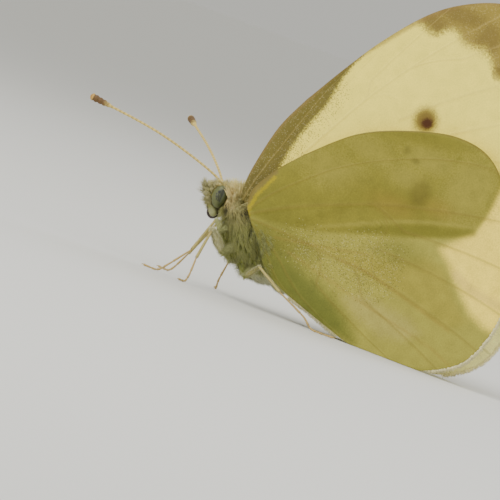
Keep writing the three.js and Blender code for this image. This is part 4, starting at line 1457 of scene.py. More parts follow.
HIND_FINISH = WingFinish(
    name="hindwing scales",
    # Olive: the under face's dusted yellow, darkened with painted shade; the sunlit layer lays painted light over part
    # of it.
    under="#968f39",
    upper="#f9f4a8",
    vein_tint="#786825",
    vein_strength=0.4,
    fringe_tint="#f3e9ae",
    mottle=0.22,
    layers=(
        Layer("sunlit", "#f4d954", (SUNLIT,), 1.0, grain=0.25),
        Layer("sunlit_dusk", "#cdb05e", (SUNLIT_DUSK,), 0.5, grain=0.3),
        Layer("pale_panel", "#8f832b", (PALE_PANEL,), 0.6, grain=0.3),
        Layer("inner_green", "#575e1e", (INNER_GREEN,), 0.85, grain=0.3),
        Layer("near_dusk", "#54561a", NEAR_DUSK, 0.42, grain=0.3),
        Layer("low_blotch", "#a4994e", (LOW_BLOTCH,), 0.7, grain=0.5),
        # Painted shade where the forewing lies behind the backlit hindwing.
        Layer("backed", "#7b7421", (OVERLAP_SHADE,), 1.0, grain=0.05),
        # Uneven painted shade within the overlap: lighter clouds, then darker ones.
        Layer("backed_light", "#968c38", OVERLAP_SHADE_LIGHTER, 0.55, grain=1.0),
        Layer("backed_dark", "#6b6414", OVERLAP_SHADE_DARKER, 0.4, grain=0.6),
        Layer("warm_tint", "#857023", WARM_TINT, 0.45, grain=0.3),
        # Painted shade and painted light along the forewing's inner margin behind the hindwing.
        Layer("fold_band", "#636013", (FORE_EDGE_SHADE,), 0.6, grain=0.3),
        Layer("fold_light", "#928935", (FORE_EDGE_LIGHT,), 0.6, grain=0.1),
        # Painted shadow of the forewing's spot behind the hindwing.
        Layer("seen_through", "#5e5617", (FORE_SPOT_SHADOW,), 0.7, grain=0.3),
        Layer("smudges", "#5f581c", SMUDGES, 0.7, grain=0.3),
        Layer("root_olive", "#62611a", (HIND_ROOT,), 0.5, grain=0.3),
        Layer("warm_lines", "#876b27", WARM_LINES, 0.3, grain=0.3),
        Layer("hind_front", "#75672e", (HIND_FRONT,), 0.9, grain=0.5),
        Layer("hind_rim", "#68571c", (HIND_COSTAL_RIM,), 0.5, grain=0.3),
        Layer("saffron", "#9a8b00", (SAFFRON,), 0.95, grain=1.0),
        Layer("pale_specks", "#bab274", (SPECKLED,), 0.45, flecks=0.35),
        Layer("specks", "#4f4b16", (SPECKLED,), 0.7, flecks=0.55),
        Layer("upper_hind_spot", "#55504a", (UPPER_HIND_SPOT,), 0.9, face=Face.UPPER),
        Layer("upper_hind_root", "#8b887c", (HIND_ROOT,), 0.7, face=Face.UPPER),
    ),
)


# ---- body

HEAD = Egg((3.35, 0.0, 6.45), (0.72, 0.88, 0.88), 64, 44)
NECK = Egg((4.05, 0.0, 6.5), (0.7, 0.66, 0.62))
THORAX = BentForm(
    path=((4.2, 0, 6.95), (5.35, 0, 5.8), (6.6, 0, 4.65), (8.0, 0, 3.55), (9.6, 0, 2.9)),
    widths=(0.88, 1.42, 1.42, 1.28, 0.98),
    heights=(0.8, 1.27, 1.86, 1.72, 1.26),
    caps=(0.5, 0.5),
    rings=60,
    sides=48,
)
ABDOMEN = BentForm(
    path=((8.3, 0, 3.3), (11.0, 0, 2.75), (14.5, 0, 2.2), (18.4, 0, 1.75)),
    widths=(1.0, 1.18, 1.02, 0.36),
    heights=(1.25, 1.2, 1.08, 0.44),
    caps=(0.6, 0.4),
    rings=120,
    sides=48,
    ripples=8,
    ripple_depth=0.05,
)
BODY_AXIS = (
    (2.4, 0, 6.45), (3.35, 0, 6.45), (4.3, 0, 6.5), (5.35, 0, 5.8), (6.6, 0, 4.65), (8.0, 0, 3.55), (9.6, 0, 2.9),
    (11.0, 0, 2.75), (14.5, 0, 2.2), (18.4, 0, 1.75),
)
NECK_SHARE = 0.1

BELLY_LINE = Stroke(((4.4, 0, 5.0), (5.5, 0, 3.1), (7.1, 0, 1.8), (9.4, 0, 1.8)), 0.45, 0.55)
UNDER_LINE = Stroke(((10.5, 0, 2.0), (14.5, 0, 1.4), (18.4, 0, 1.3)), 0.7, 0.7)
COLLAR_SLIT = Stroke(((4.5, -0.95, 6.1), (4.72, -1.0, 5.75), (4.93, -0.95, 5.4)), 0.13, 0.08)
PORES = (Spot((5.86, -1.3, 6.12), (0.16, 0.6, 0.13), 0.3), Spot((8.58, -1.3, 2.85), (0.14, 0.6, 0.12), 0.3))
BODY_LAYERS = (
    Layer("face", "#7e7a3a", (Spot((2.6, 0, 6.2), (1.1, 1.2, 1.3), 0.4),), 0.9),
    Layer("crown", "#b5a65e", (Spot((3.3, 0, 7.5), (1.1, 0.9, 0.7), 0.5),), 0.9),
    Layer("ruff", "#f2dc7c", (Spot((4.6, 0, 7.6), (1.5, 1.5, 1.1), 0.35),), 0.95),
    Layer("blush", "#dcb07c", (Spot((4.5, -1.0, 6.6), (0.7, 0.5, 0.6), 0.6),), 0.5),
    # Painted light: lighter buff on the upper sides of the thorax, where the light falls.
    Layer("shoulder", "#c8b876", (Spot((5.2, -1.2, 6.3), (1.1, 1.1, 0.9), 0.7),), 0.6),
    Layer("flank", "#858b36", (Spot((7.2, -1.2, 3.2), (1.5, 1.2, 1.2), 0.7),), 0.85),
    Layer("pale_belly", "#cdcd9c", (BELLY_LINE,), 0.8),
    Layer("white_flank", "#f0f1cc", (Spot((8.8, -1.0, 2.0), (1.2, 1.1, 0.75), 0.4),), 1.0),
    Layer("abdomen_pale", "#c9c795", (UNDER_LINE,), 0.8),
    Layer("palp_base", "#8d8e62", (Spot((3.45, -0.5, 5.3), (0.38, 0.6, 0.38), 0.4),), 0.95),
    Layer("dark_pits", "#16140a", (COLLAR_SLIT, *PORES), 0.95, grain=0.2),
)

BODY_SKIN_FINISH = SkinFinish("body skin", BODY_LAYERS, base="#80863e")
BODY_HAIR_FINISH = HairFinish(
    "body hair", BODY_LAYERS, base="#a6a958", tip="#d9d497", tip_strength=0.4, tone_range=(0.64, 1.24)
)
FACE_HAIR_FINISH = HairFinish(
    "face hair", BODY_LAYERS, base="#847c3c", tip="#e2d89a", tip_strength=0.75, tone_range=(0.42, 1.2)
)
LEG_HAIR_FINISH = HairFinish(
    name="leg hair",
    base="#cdc996",
    layers=(Layer("leg_hip", "#a9ac63", (), 0.95), Layer("leg_foot", "#ad9460", (), 0.7)),
    tip="#dcd8ae",
)
LEG_FINISH = HornFinish(
    name="leg horn",
    base="#aaa25c",
    layers=(Layer("leg_warm", "#b3804c", (), 0.5, grain=0.5), Layer("leg_pale", "#bdb77c", (), 0.7, grain=0.5)),
    roughness=0.6,
)


def body_masks(places: Array) -> dict[str, Array]:
    """The body's marks, the same on both sides, at places on the skin or at roots of hair."""
    left = np.stack([places[:, 0], -np.abs(places[:, 1]), places[:, 2]], axis=1)
    return {layer.name: layer.mask(left) for layer in BODY_LAYERS}


def is_free(places: Array) -> Array:
    """Whether hair may grow at places on the body: not on the eyes."""
    return np.linalg.norm((np.abs(places) - EYE_CENTRE) / EYE_CLEARING, axis=1) > 1


@dataclass(frozen=True)
class Paints:
    """The materials that several pieces share."""

    skin: Material
    hair: Material
    face: Material
    leg: Material
    leg_hair: Material

    @classmethod
    def mixed(cls, effects: Effects, stance: Stance) -> "Paints":
        """Builds each of them once."""
        finishes = (BODY_SKIN_FINISH, BODY_HAIR_FINISH, FACE_HAIR_FINISH, LEG_FINISH, LEG_HAIR_FINISH)
        return cls(*(finish.material(effects, stance) for finish in finishes))


@dataclass
class Scatter:
    """Random places on a mesh, with the way out at each."""

    places: Array
    outs: Array

    @classmethod
    def over(cls, mesh: Mesh, count: int, density: Callable[[Array], Array], seed: int) -> "Scatter":
        """Draws places.

        Args:
            mesh: the skin, in millimetres.
            count: how many places.
            density: how thickly they lie, from the middles of the skin's triangles.
            seed: the seed of the random draw.

        Returns:
            The places and the ways out.
        """
        random = np.random.default_rng(seed)
        mesh.calc_loop_triangles()
        triangles = np.zeros(len(mesh.loop_triangles) * 3, int)
        mesh.loop_triangles.foreach_get("vertices", triangles)
        corners = corners_of(mesh)[triangles.reshape(-1, 3)]
        sides = np.cross(corners[:, 1] - corners[:, 0], corners[:, 2] - corners[:, 0])
        weights = np.linalg.norm(sides, axis=1) * density(corners.mean(axis=1))
        chosen = random.choice(len(corners), count, p=weights / weights.sum())
        u, v = random.random(count), random.random(count)
        flip = u + v > 1
        u, v = np.where(flip, 1 - u, u)[:, None], np.where(flip, 1 - v, v)[:, None]
        a, b, c = corners[chosen, 0], corners[chosen, 1], corners[chosen, 2]
        return cls(a + (b - a) * u + (c - a) * v, unit(sides[chosen]))


class BodyAxis:
    """The body's middle line from the face to the tail."""

    def __init__(self) -> None:
        """Draws the line."""
        self.curve = Curve(BODY_AXIS)

    def along(self, places: Array) -> tuple[Array, Array, Array]:
        """Shares along the line, its way towards the tail, and how far up each place looks."""
        share = self.curve.nearest(places)
        tangents, _, _ = self.curve.frames()
        way = unit(self.curve.read(tangents, share))
        from_axis = unit(places - self.curve.at(share))
        up = np.cross(np.array([0.0, 1.0, 0.0]), way)
        up *= np.sign(up[:, 2:3])
        return share, way, (from_axis * up).sum(axis=1)

    def unwrap(self, places: Array) -> Array:
        """The skin's unwrap: turns round the line and shares of the way along it."""
        share = self.curve.nearest(places)
        _, y, z = (places - self.curve.at(share)).T
        return unwrapped(np.arctan2(y, z), share)


AXIS = BodyAxis()


@dataclass(frozen=True)
class Lay:
    """How a coat's tufts lie: their way, how many times as long and how much steeper they are than the coat's own."""

    way: Array
    stretch: Array | float = 1.0
    lift: Array | float = 0.0


@dataclass(frozen=True)
class Coat(ABC):
    """One kind of hair on the body, with the ranges that its tufts are drawn from.

    Its locks are a count and a pull. A share of its tufts is broader and paler than the rest.
    """

    name: str
    slot: str
    count: int
    seed: int
    lengths: Pair
    halves: Pair
    rises: Pair
    stray: float
    curl: float
    locks: tuple[int, float] | None = None
    turn: float = 0.0
    unevenness: int = 0
    broad: float = 0.0
    broader: float = 1.7
    paler: float = 0.25
    steepest: float = math.inf
    sink: float = 0.08

    @abstractmethod
    def density(self, places: Array) -> Array:
        """How thickly the tufts stand at places on the skin."""

    @abstractmethod
    def lay(self, scatter: Scatter) -> Lay:
        """How the tufts lie at their roots."""

    def roots(self, skin: Mesh) -> Roots:
        """Draws the roots of the whole coat, which keeps off the eyes."""
        random = np.random.default_rng(self.seed)
        scatter = Scatter.over(skin, self.count, lambda spots: self.density(spots) * is_free(spots), self.seed + 1)
        places, outs, lay = scatter.places, scatter.outs, self.lay(scatter)
        locks = Locks.gather(places, *self.locks, self.seed + 2) if self.locks else Locks.loose(self.count)
        lies = lay.way + locks.turns * self.turn + random.normal(0, self.stray, places.shape)
        wide = np.ones(self.count)
        if self.broad:
            wide[random.random(self.count) < self.broad] = self.broader
        return Roots(
            places, outs, flattened(lies, outs),
            lengths=random.uniform(*self.lengths, self.count) * lay.stretch * locks.stretches**self.unevenness,
            halves=random.uniform(*self.halves, self.count) * wide,
            rises=np.minimum(random.uniform(*self.rises, self.count) + lay.lift, self.steepest),
            unwrap=AXIS.unwrap(places),
            shades=locks.shades + (wide - 1) * self.paler,
            leans=locks.leans,
            curl=self.curl,
            sink=self.sink,
        )


class ThoraxCoat(Coat):
    """Fine hair that lies back along the sides and the underside of the thorax."""

    DROOP = (0.25, 0.0, -0.35)

    def density(self, places: Array) -> Array:
        """All over the thorax."""
        share, _, _ = AXIS.along(places)
        return smooth(share, NECK_SHARE - 0.02, NECK_SHARE + 0.02) * (1 - smooth(share, 0.47, 0.54))

    def lay(self, scatter: Scatter) -> Lay:
        """Back and down, longer on the sides and steeper on chest, belly and sides."""
        _, way, up = AXIS.along(scatter.places)
        belly = smooth(-up, 0.45, 0.9)
        chest = smooth(-scatter.outs[:, 0], 0.3, 0.9) * smooth(-up, -0.3, 0.3)
        side = smooth(np.abs(scatter.places[:, 1]), 1.0, 1.35)
        return Lay(way + self.DROOP, 1 - 0.25 * belly + 0.35 * side, 0.15 * belly + 0.45 * chest + 0.22 * side)


class RuffCoat(Coat):
    """Long erect hair over the neck and the front of the back."""

    UPWARD = (0.1, 0.0, 0.25)

    def density(self, places: Array) -> Array:
        """On top, from the neck to the front of the back."""
        share, _, up = AXIS.along(places)
        in_ruff = smooth(share, NECK_SHARE - 0.02, NECK_SHARE + 0.005) * (1 - smooth(share, 0.17, 0.3))
        return in_ruff * smooth(up, -0.2, 0.5)

    def lay(self, scatter: Scatter) -> Lay:
        """Forward at the neck and backward behind it, longest and steepest on top."""
        share, way, up = AXIS.along(scatter.places)
        back = smooth(share, NECK_SHARE, 0.26)
        return Lay(way * (back[:, None] * 2 - 0.6) + self.UPWARD, 0.55 + 0.45 * smooth(up, 0.1, 0.8), -0.3 * back)


class HeadCoat(Coat):
    """Bristly hair on the face, a crest on the crown and short hair round the eyes."""

    def density(self, places: Array) -> Array:
        """All over the head."""
        share, _, _ = AXIS.along(places)
        return 1 - smooth(share, NECK_SHARE - 0.03, NECK_SHARE)

    def lay(self, scatter: Scatter) -> Lay:
        """Forward and up, longer and steeper on the crown and in front."""
        x, _, z = (scatter.places - np.asarray(HEAD.centre)).T
        crown, front = smooth(z, 0.35, 0.8), smooth(-x, 0.1, 0.6)
        way = np.stack([-0.4 - 0.5 * front, np.zeros_like(x), 0.75 - 0.5 * front], axis=1)
        return Lay(way, 1 + 0.3 * crown + 0.25 * front, 0.3 * np.maximum(crown, front))


class AbdomenCoat(Coat):
    """Short flat hair on the abdomen."""

    def density(self, places: Array) -> Array:
        """All over the abdomen."""
        share, _, _ = AXIS.along(places)
        return smooth(share, 0.48, 0.54)

    def lay(self, scatter: Scatter) -> Lay:
        """Straight back."""
        _, way, _ = AXIS.along(scatter.places)
        return Lay(way)


THORAX_COAT = ThoraxCoat(
    "thorax_coat", "body_hair", 18500, 21, (0.5, 0.95), (0.02, 0.036), (0.1, 0.28), stray=0.1, curl=0.35,
    locks=(420, 0.45), turn=0.16, broad=0.12,
)
RUFF_COAT = RuffCoat(
    "ruff_coat", "body_hair", 6500, 31, (0.6, 1.15), (0.024, 0.044), (0.6, 0.9), stray=0.12, curl=0.5,
    locks=(130, 0.8), turn=0.4, unevenness=2,
)
HEAD_COAT = HeadCoat(
    "head_coat", "face_hair", 7000, 41, (0.34, 0.6), (0.02, 0.038), (0.3, 0.6), stray=0.14, curl=0.4,
    locks=(120, 0.9), turn=0.4, unevenness=2, steepest=0.95,
)
ABDOMEN_COAT = AbdomenCoat(
    "abdomen_coat", "body_hair", 7000, 51, (0.28, 0.45), (0.025, 0.04), (0.06, 0.16), stray=0.12, curl=0.2, sink=0.04
)


@dataclass(frozen=True)
class Body:
    """Head, thorax and abdomen under one skin, with their coats."""

    coxae: tuple[Egg, ...]
    voxel: float = 0.075
    smoothings: int = 4

    def skin_mesh(self) -> Mesh:
        """One closed skin over head, thorax, abdomen and the roots of the legs."""
        parts = mesh_from("body_parts", HEAD, THORAX, ABDOMEN, NECK, *self.coxae)
        whole = linked("body_parts", parts)
        remesh = whole.modifiers.new("one skin", "REMESH")
        remesh.mode = "VOXEL"
        remesh.voxel_size = self.voxel
        graph = bpy.context.evaluated_depsgraph_get()
        joined = bpy.data.meshes.new_from_object(whole.evaluated_get(graph))
        bpy.data.objects.remove(whole)
        bpy.data.meshes.remove(parts)
        bm = taken_up(joined)
        for _ in range(self.smoothings):
            bmesh.ops.smooth_vert(bm, verts=bm.verts[:], factor=0.5, use_axis_x=True, use_axis_y=True, use_axis_z=True)
        return mesh_of(bm, "body_skin")

    def build(self, paints: Paints, stance: Stance) -> None:
        """Builds the skin and every coat on it."""
        skin = self.skin_mesh()
        fine, long = TuftMaker(SHORT_CUTS, 11), TuftMaker(LONG_CUTS, 12)
        coats = (
            (THORAX_COAT, fine, paints.hair),
            (RUFF_COAT, long, paints.hair),
            (HEAD_COAT, long, paints.face),
            (ABDOMEN_COAT, fine, paints.hair),
        )
        for coat, maker, material in coats:
            roots = coat.roots(skin)
            mesh = maker.coat(roots, coat.name, body_masks(roots.places))
            place_piece(mesh, material, stance)
        keep_values(skin, body_masks(corners_of(skin)))
        place_piece(skin, paints.skin, stance, ["head", "thorax", "abdomen"])


@dataclass(frozen=True)
class Eye:
    """A large round compound eye."""

    side: Side
    radii: Point = (0.54, 0.42, 0.83)

    def build(self, effects: Effects, stance: Stance) -> None:
        """Builds the eye."""
        x, y, z = EYE_CENTRE
        y *= self.side.value
        mesh = mesh_from(f"eye_{self.side.word}_globe", Egg((x, y, z), self.radii, 72, 56))
        spots = (
            Spot((-0.01, 0.32), (0.1, 0.12), 0.35),
            Spot((-0.13, 0.14), (0.07, 0.07), 0.5),
            Spot((-0.1, -0.04), (0.06, 0.08), 0.5),
        )
        streaks = (
            Stroke(((0.07, 0.5), (0.03, 0.15), (-0.02, -0.25)), 0.028, 0.035),
            Stroke(((0.17, 0.58), (0.15, 0.2), (0.1, -0.3)), 0.028, 0.035),
            Stroke(((0.26, 0.64), (0.26, 0.2), (0.22, -0.3)), 0.035, 0.04),
        )
        rear = (Stroke(((0.36, 0.5), (0.44, 0.0), (0.34, -0.5)), 0.1, 0.18),)
        finish = HornFinish(
            name=f"eye {self.side.word}",
            base="#565a30",
            layers=(
                Layer("eye_rear", "#2f3617", rear, 0.7, grain=0.4),
                Layer("eye_streaks", "#14170a", streaks, 0.85, grain=0.2),
                Layer("eye_spots", "#0a0d05", spots, 0.95, grain=0.3),
            ),
            roughness=0.42,
            coat=0.06,
            facets=22.0,
        )
        flat = corners_of(mesh)[:, [0, 2]] - [x, z]
        keep_values(mesh, {layer.name: layer.mask(flat) for layer in finish.layers})
        place_piece(mesh, finish.material(effects, stance), stance, [f"eye_{self.side.word}"])


@dataclass(frozen=True)
class Antenna:
    """A ringed feeler that ends in a club."""

    side: Side
    bend: Point
    tip: Point
    shaft: float = 0.085
    club: float = 0.27
    joints: int = 36

    def build(self, effects: Effects, stance: Stance) -> None:
        """Builds the antenna."""
        sign = self.side.value
        shaft = [self.shaft * 1.15] + [self.shaft] * 10
        form = BentForm(
            path=((3.0, sign * 0.42, 6.9), (2.75, sign * 0.55, 7.75), self.bend, self.tip),
            widths=(*shaft, self.club * 0.8, self.club),
            caps=(0.1, 0.3),
            rings=260,
            sides=20,
            ripples=self.joints,
            ripple_depth=0.22,
        )
        mesh = mesh_from(f"antenna_{self.side.word}_feeler", form)
        along = kept_values(mesh, "along")
        tip = smooth(along, 0.975, 0.99)
        keep_values(mesh, {"club": smooth(along, 0.86, 0.92) * (1 - tip), "club_tip": tip})
        finish = HornFinish(
            name=f"antenna {self.side.word}",
            base="#d3bb66",
            layers=(Layer("club", "#46240c", (), 0.9, grain=0.5), Layer("club_tip", "#c4923f", (), 0.9, grain=0.3)),
            bands=self.joints,
            band_tint="#65421a",
            band_strength=0.38,
            roughness=0.55,
        )
        place_piece(mesh, finish.material(effects, stance), stance, [f"antenna_{self.side.word}"])


@dataclass(frozen=True)
class Palp:
    """A bristly palp that curves up in front of the face."""

    side: Side
    spread: float = 0.46
    count: int = 1500
    lengths: Pair = (0.2, 0.5)
    halves: Pair = (0.016, 0.03)
    locks: tuple[int, float] = (38, 0.9)
    turn: float = 0.3
    forward: Point = (-0.3, 0.0, 0.1)

    @property
    def form(self) -> BentForm:
        """The palp's own shape under its bristles."""
        y = self.side.value * self.spread
        return BentForm(
            path=((3.54, y, 4.99), (3.41, y, 5.32), (3.02, y, 5.86), (2.5, y, 6.38), (2.1, y, 6.98)),
            widths=(0.28, 0.27, 0.2, 0.14, 0.04),
            heights=(0.3, 0.29, 0.22, 0.16, 0.04),
            caps=(0.28, 0.1),
            rings=40,
            sides=20,
        )

    def build(self, paints: Paints, stance: Stance) -> None:
        """Builds the palp and its bristles."""
        mesh = mesh_from(f"palp_{self.side.word}_core", self.form)
        keep_values(mesh, body_masks(corners_of(mesh)))
        place_piece(mesh, paints.skin, stance, [f"palp_{self.side.word}"])
        random = np.random.default_rng(60 + self.side.value)
        count = self.count
        t, turn = random.random(count) ** 0.9, random.uniform(-math.pi, math.pi, count)
        places, outs, tangents = self.form.surface(t, turn)
        locks = Locks.gather(places, *self.locks, 62)
        front = smooth(-outs[:, 0], -0.3, 0.7)
        lies = unit(tangents + self.forward + locks.turns * self.turn + random.normal(0, 0.1, places.shape))
        stretch = (0.35 + 1.1 * t) * (1 + 0.2 * front) * locks.stretches**2
        roots = Roots(
            places, outs, flattened(lies, outs),
            lengths=random.uniform(*self.lengths, count) * stretch,
            halves=random.uniform(*self.halves, count),
            rises=np.clip(0.25 + 0.4 * front + random.normal(0, 0.1, count), 0.05, 0.9),
            unwrap=unwrapped(turn, t),
            shades=locks.shades,
            leans=locks.leans,
            curl=0.5,
        )
        mesh = TuftMaker(LONG_CUTS, 61).coat(roots, f"palp_{self.side.word}_bristles", body_masks(places))
        place_piece(mesh, paints.face, stance)


@dataclass(frozen=True)
class Proboscis:
    """The drinking tube, rolled up under the face."""

    x: float = 3.28
    z: float = 5.25
    outer: float = 0.48
    inner: float = 0.1
    start: float = 60.0
    turned: float = 640.0
    steps: int = 30

    def build(self, effects: Effects, stance: Stance) -> None:
        """Builds the coil."""
        share = np.arange(self.steps + 1) / self.steps
        turn = np.radians(self.start + self.turned * share)
        reach = self.outer + (self.inner - self.outer) * share
        path = tuple((self.x + r * math.cos(a), 0.0, self.z + r * math.sin(a)) for r, a in zip(reach, turn))
        form = BentForm(
            path, widths=(0.12, 0.1, 0.06), caps=(0.08, 0.05), rings=200, sides=16, ripples=70, ripple_depth=0.12
        )
        mesh = mesh_from("proboscis_coil", form)
        finish = HornFinish("proboscis horn", base="#2c1a10", roughness=0.35, coat=0.3)
        place_piece(mesh, finish.material(effects, stance), stance, ["proboscis"])


@dataclass(frozen=True)
class LegPlan:
    """A leg's joints from the hip to the toe."""

    pair: str
    side: Side
    joints: tuple[Point, ...]
    femur: float
    tibia: float = 0.1


@dataclass(frozen=True)
class Leg:
    """A jointed leg: hip, thigh, shin, five joints of the foot, two claws, spines and hair.

    The claws' path is ahead of the toe, aside of it and above it. Hair is a count, a length and a rise, and the
    thigh's length is in half widths of the thigh.
    """

    plan: LegPlan
    foot: float = 0.075
    foot_clear: float = 0.045
    foot_shares: tuple[float, ...] = (0.0, 0.4, 0.6, 0.74, 0.84, 1.0)
    claw_path: tuple[Point, ...] = ((-0.03, 0.03, 0.0), (0.1, 0.07, 0.02), (0.15, 0.09, 0.0))
    claw_halves: tuple[float, ...] = (0.03, 0.024, 0.008)
    claw_tip: float = 0.065
    hip_hair: HairRow = (1700, 0.36, 0.3)
    thigh_hair: HairRow = (1100, 1.25, 0.4)
    shin_hair: HairRow = (420, 0.13, 0.2)
    foot_hair: HairRow = (60, 0.09, 0.3)
    hair_halves: Pair = (0.014, 0.026)

    @property
    def name(self) -> str:
        """The name of the node that the leg stands for."""
        return f"leg_{self.plan.pair}_{self.plan.side.word}"

    def forms(self) -> list[BentForm]:
        """The leg's joints as round forms, from the hip down."""
        hip, trochanter, knee, ankle, *rest = self.plan.joints
        lowest = self.foot + self.foot_clear
        grounded = [(x, y, min(z, lowest)) if z < 0.3 else (x, y, z) for x, y, z in rest]
        femur, tibia = self.plan.femur, self.plan.tibia
        forms = [
            self._joint(hip, trochanter, (femur * 1.15, femur * 1.1, femur * 0.8)),
            self._joint(trochanter, knee, (femur * 0.7, femur, femur * 0.85, tibia * 1.1)),
            self._joint(knee, ankle, (tibia * 0.9, tibia, tibia, tibia * 1.15)),
        ]
        foot = Curve([ankle, *grounded], tension=0.35)
        widths = (self.foot * 0.75, self.foot * 0.9, self.foot * 1.1)
        for first, last in zip(self.foot_shares[:-1], self.foot_shares[1:]):
            path = points(foot.at(np.linspace(first, last, 4)))
            forms.append(BentForm(path, widths, caps=(0.04, 0.05), rings=20, sides=14))
        return forms + self._claws(foot)

    @staticmethod
    def _joint(start: Point, end: Point, widths: tuple[float, ...]) -> BentForm:
        """One straight joint between two places."""
        return BentForm(points(np.linspace(start, end, 4)), widths, caps=(widths[0], widths[-1]), rings=36, sides=18)

    def _claws(self, foot: Curve) -> list[BentForm]:
        """Two small hooked claws at the toe."""
        toe, before = foot.at(np.array([1.0, 0.93]))
        ahead = unit((toe - before) * [1, 1, 0])
        aside = np.cross(ahead, [0, 0, 1])
        claws = []
        for sign in (-1, 1):
            path = np.array([toe + ahead * on + aside * sign * out + [0, 0, up] for on, out, up in self.claw_path])
            path[-1, 2] = self.claw_tip
            claws.append(BentForm(points(path), self.claw_halves, caps=(0.02, 0.01), rings=12, sides=8))
        return claws

    def build(self, paints: Paints, stance: Stance) -> None:
        """Builds the leg, its spines and its hair."""
        forms = self.forms()
        mesh = mesh_from(f"{self.name}_joints", *forms)
        part = kept_values(mesh, "part")
        pale = (1 - smooth(part, 1, 2)) * (self.plan.pair == "mid")
        keep_values(mesh, {"leg_warm": smooth(part, 1.4, 3), "leg_pale": pale})
        place_piece(mesh, paints.leg, stance, [self.name])
        self._build_hair(forms, paints, stance)

    def _build_hair(self, forms: list[BentForm], paints: Paints, stance: Stance) -> None:
        """Sets long hair on hip and thigh, short hair on the shin and fine spines on the foot."""
        random = np.random.default_rng(70 + len(self.name) + self.plan.side.value)
        thigh_count, thigh_length, thigh_rise = self.thigh_hair
        thigh_hair = (thigh_count, self.plan.femur * thigh_length, thigh_rise)
        hairs = (self.hip_hair, thigh_hair, self.shin_hair, *[self.foot_hair] * (len(self.foot_shares) - 1))
        rows = []
        for part, (form, (count, length, rise)) in enumerate(zip(forms, hairs)):
            t, turn = random.uniform(0.04, 0.98, count), random.uniform(-math.pi, math.pi, count)
            places, outs, tangents = form.surface(t, turn)
            lies = flattened(unit(tangents + random.normal(0, 0.14, places.shape)), outs)
            is_clear = places[:, 2] + lies[:, 2] * length > 0.05
            unwrap = np.stack([0.01 + 0.95 * (turn / (2 * math.pi) + 0.5), (part + t) / len(hairs) * 0.97], axis=1)
            lengths = length * random.uniform(0.7, 1.2, count)
            halves = random.uniform(*self.hair_halves, count)
            rises = rise * random.uniform(0.6, 1.4, count)
            row = (places, outs, lies, lengths, halves, rises, unwrap, np.full(count, float(part)))
            rows.append([values[is_clear] for values in row])
        *joined, part = [np.concatenate(column) for column in zip(*rows)]
        hips = 2.0 if self.plan.pair == "fore" else 1.0
        masks = {"leg_hip": (part < hips).astype(float), "leg_foot": smooth(part, 1, 2)}
        mesh = TuftMaker(SHORT_CUTS, 71).coat(Roots(*joined, curl=0.3, sink=0.02), f"{self.name}_hair", masks)
        place_piece(mesh, paints.leg_hair, stance)


LEG_PLANS = (
    LegPlan("fore", Side.LEFT, ((5.4, -0.7, 5), (4.9, -1.75, 4.25), (4.35, -1.8, 4.95), (3.52, -2.2, 2.28),
                                (2.37, -2.6, 0.72), (1.8, -2.75, 0.26), (0.78, -3, 0.22)), 0.13),
    LegPlan("fore", Side.RIGHT, ((5.2, 0.7, 5), (4.2, 1.7, 4.1), (3.3, 1.75, 4.75), (1.75, 2.2, 1.75),
                                 (0.95, 2.6, 0.5), (0.5, 2.8, 0.24), (-0.4, 3.1, 0.22)), 0.13),
    LegPlan("mid", Side.LEFT, ((6.4, -0.6, 4), (5.5, -1.6, 2.9), (4.6, -2.5, 4.2), (4.45, -3.2, 1.9),
                               (4.55, -3.6, 0.7), (4.5, -3.9, 0.26), (4.3, -4.6, 0.22)), 0.27),
    LegPlan("mid", Side.RIGHT, ((6.4, 0.6, 4), (5.7, 1.7, 2.9), (5.1, 2.4, 3.9), (4.6, 2.9, 2.1),
                                (4.2, 3.4, 0.8), (4.1, 3.7, 0.26), (3.8, 4.3, 0.22)), 0.27),
    LegPlan("hind", Side.LEFT, ((8, -0.6, 3.2), (7.9, -1.7, 1.9), (9.2, -3.2, 2.9), (11.3, -3.25, 1.75),
                                (13.6, -3.3, 0.75), (14.5, -3.35, 0.28), (16.3, -3.5, 0.22)), 0.16),
    LegPlan("hind", Side.RIGHT, ((8, 0.6, 3.2), (7.9, 1.7, 1.9), (9, 3.2, 2.8), (11, 3.3, 1.6),
                                 (13, 3.5, 0.7), (13.8, 3.6, 0.28), (15.4, 3.9, 0.22)), 0.16),
)
ROOT_FAN = Patch(((6.8, 5.9), (7.9, 5.5), (8.5, 5.0), (8.7, 4.3), (9.0, 3.5), (9.3, 2.7), (8.8, 2.4), (7.0, 4.4)), 0.45)
COXAE = tuple(
    Egg((x, side.value * y, z), (0.5, 0.42, 0.75))
    for side in Side
    for x, y, z in ((5.0, 0.55, 4.1), (5.75, 0.55, 3.2), (7.2, 0.55, 2.6))
)


# ---- studio


@dataclass(frozen=True)
class Lamp:
    """One soft round light, in metres and watts."""

    name: str
    way: Point
    size: float
    power: float
    distance: float = 0.35

    def hang(self, aim: Vector) -> None:
        """Hangs the light where it looks at a place."""
        data = bpy.data.lights.new(self.name, "AREA")
        data.shape, data.size, data.energy = "DISK", self.size, self.power
        way = Vector(self.way).normalized()
        turned = way.to_track_quat("Z", "Y").to_matrix().to_4x4()
        linked(self.name, data).matrix_world = Matrix.Translation(aim + way * self.distance) @ turned


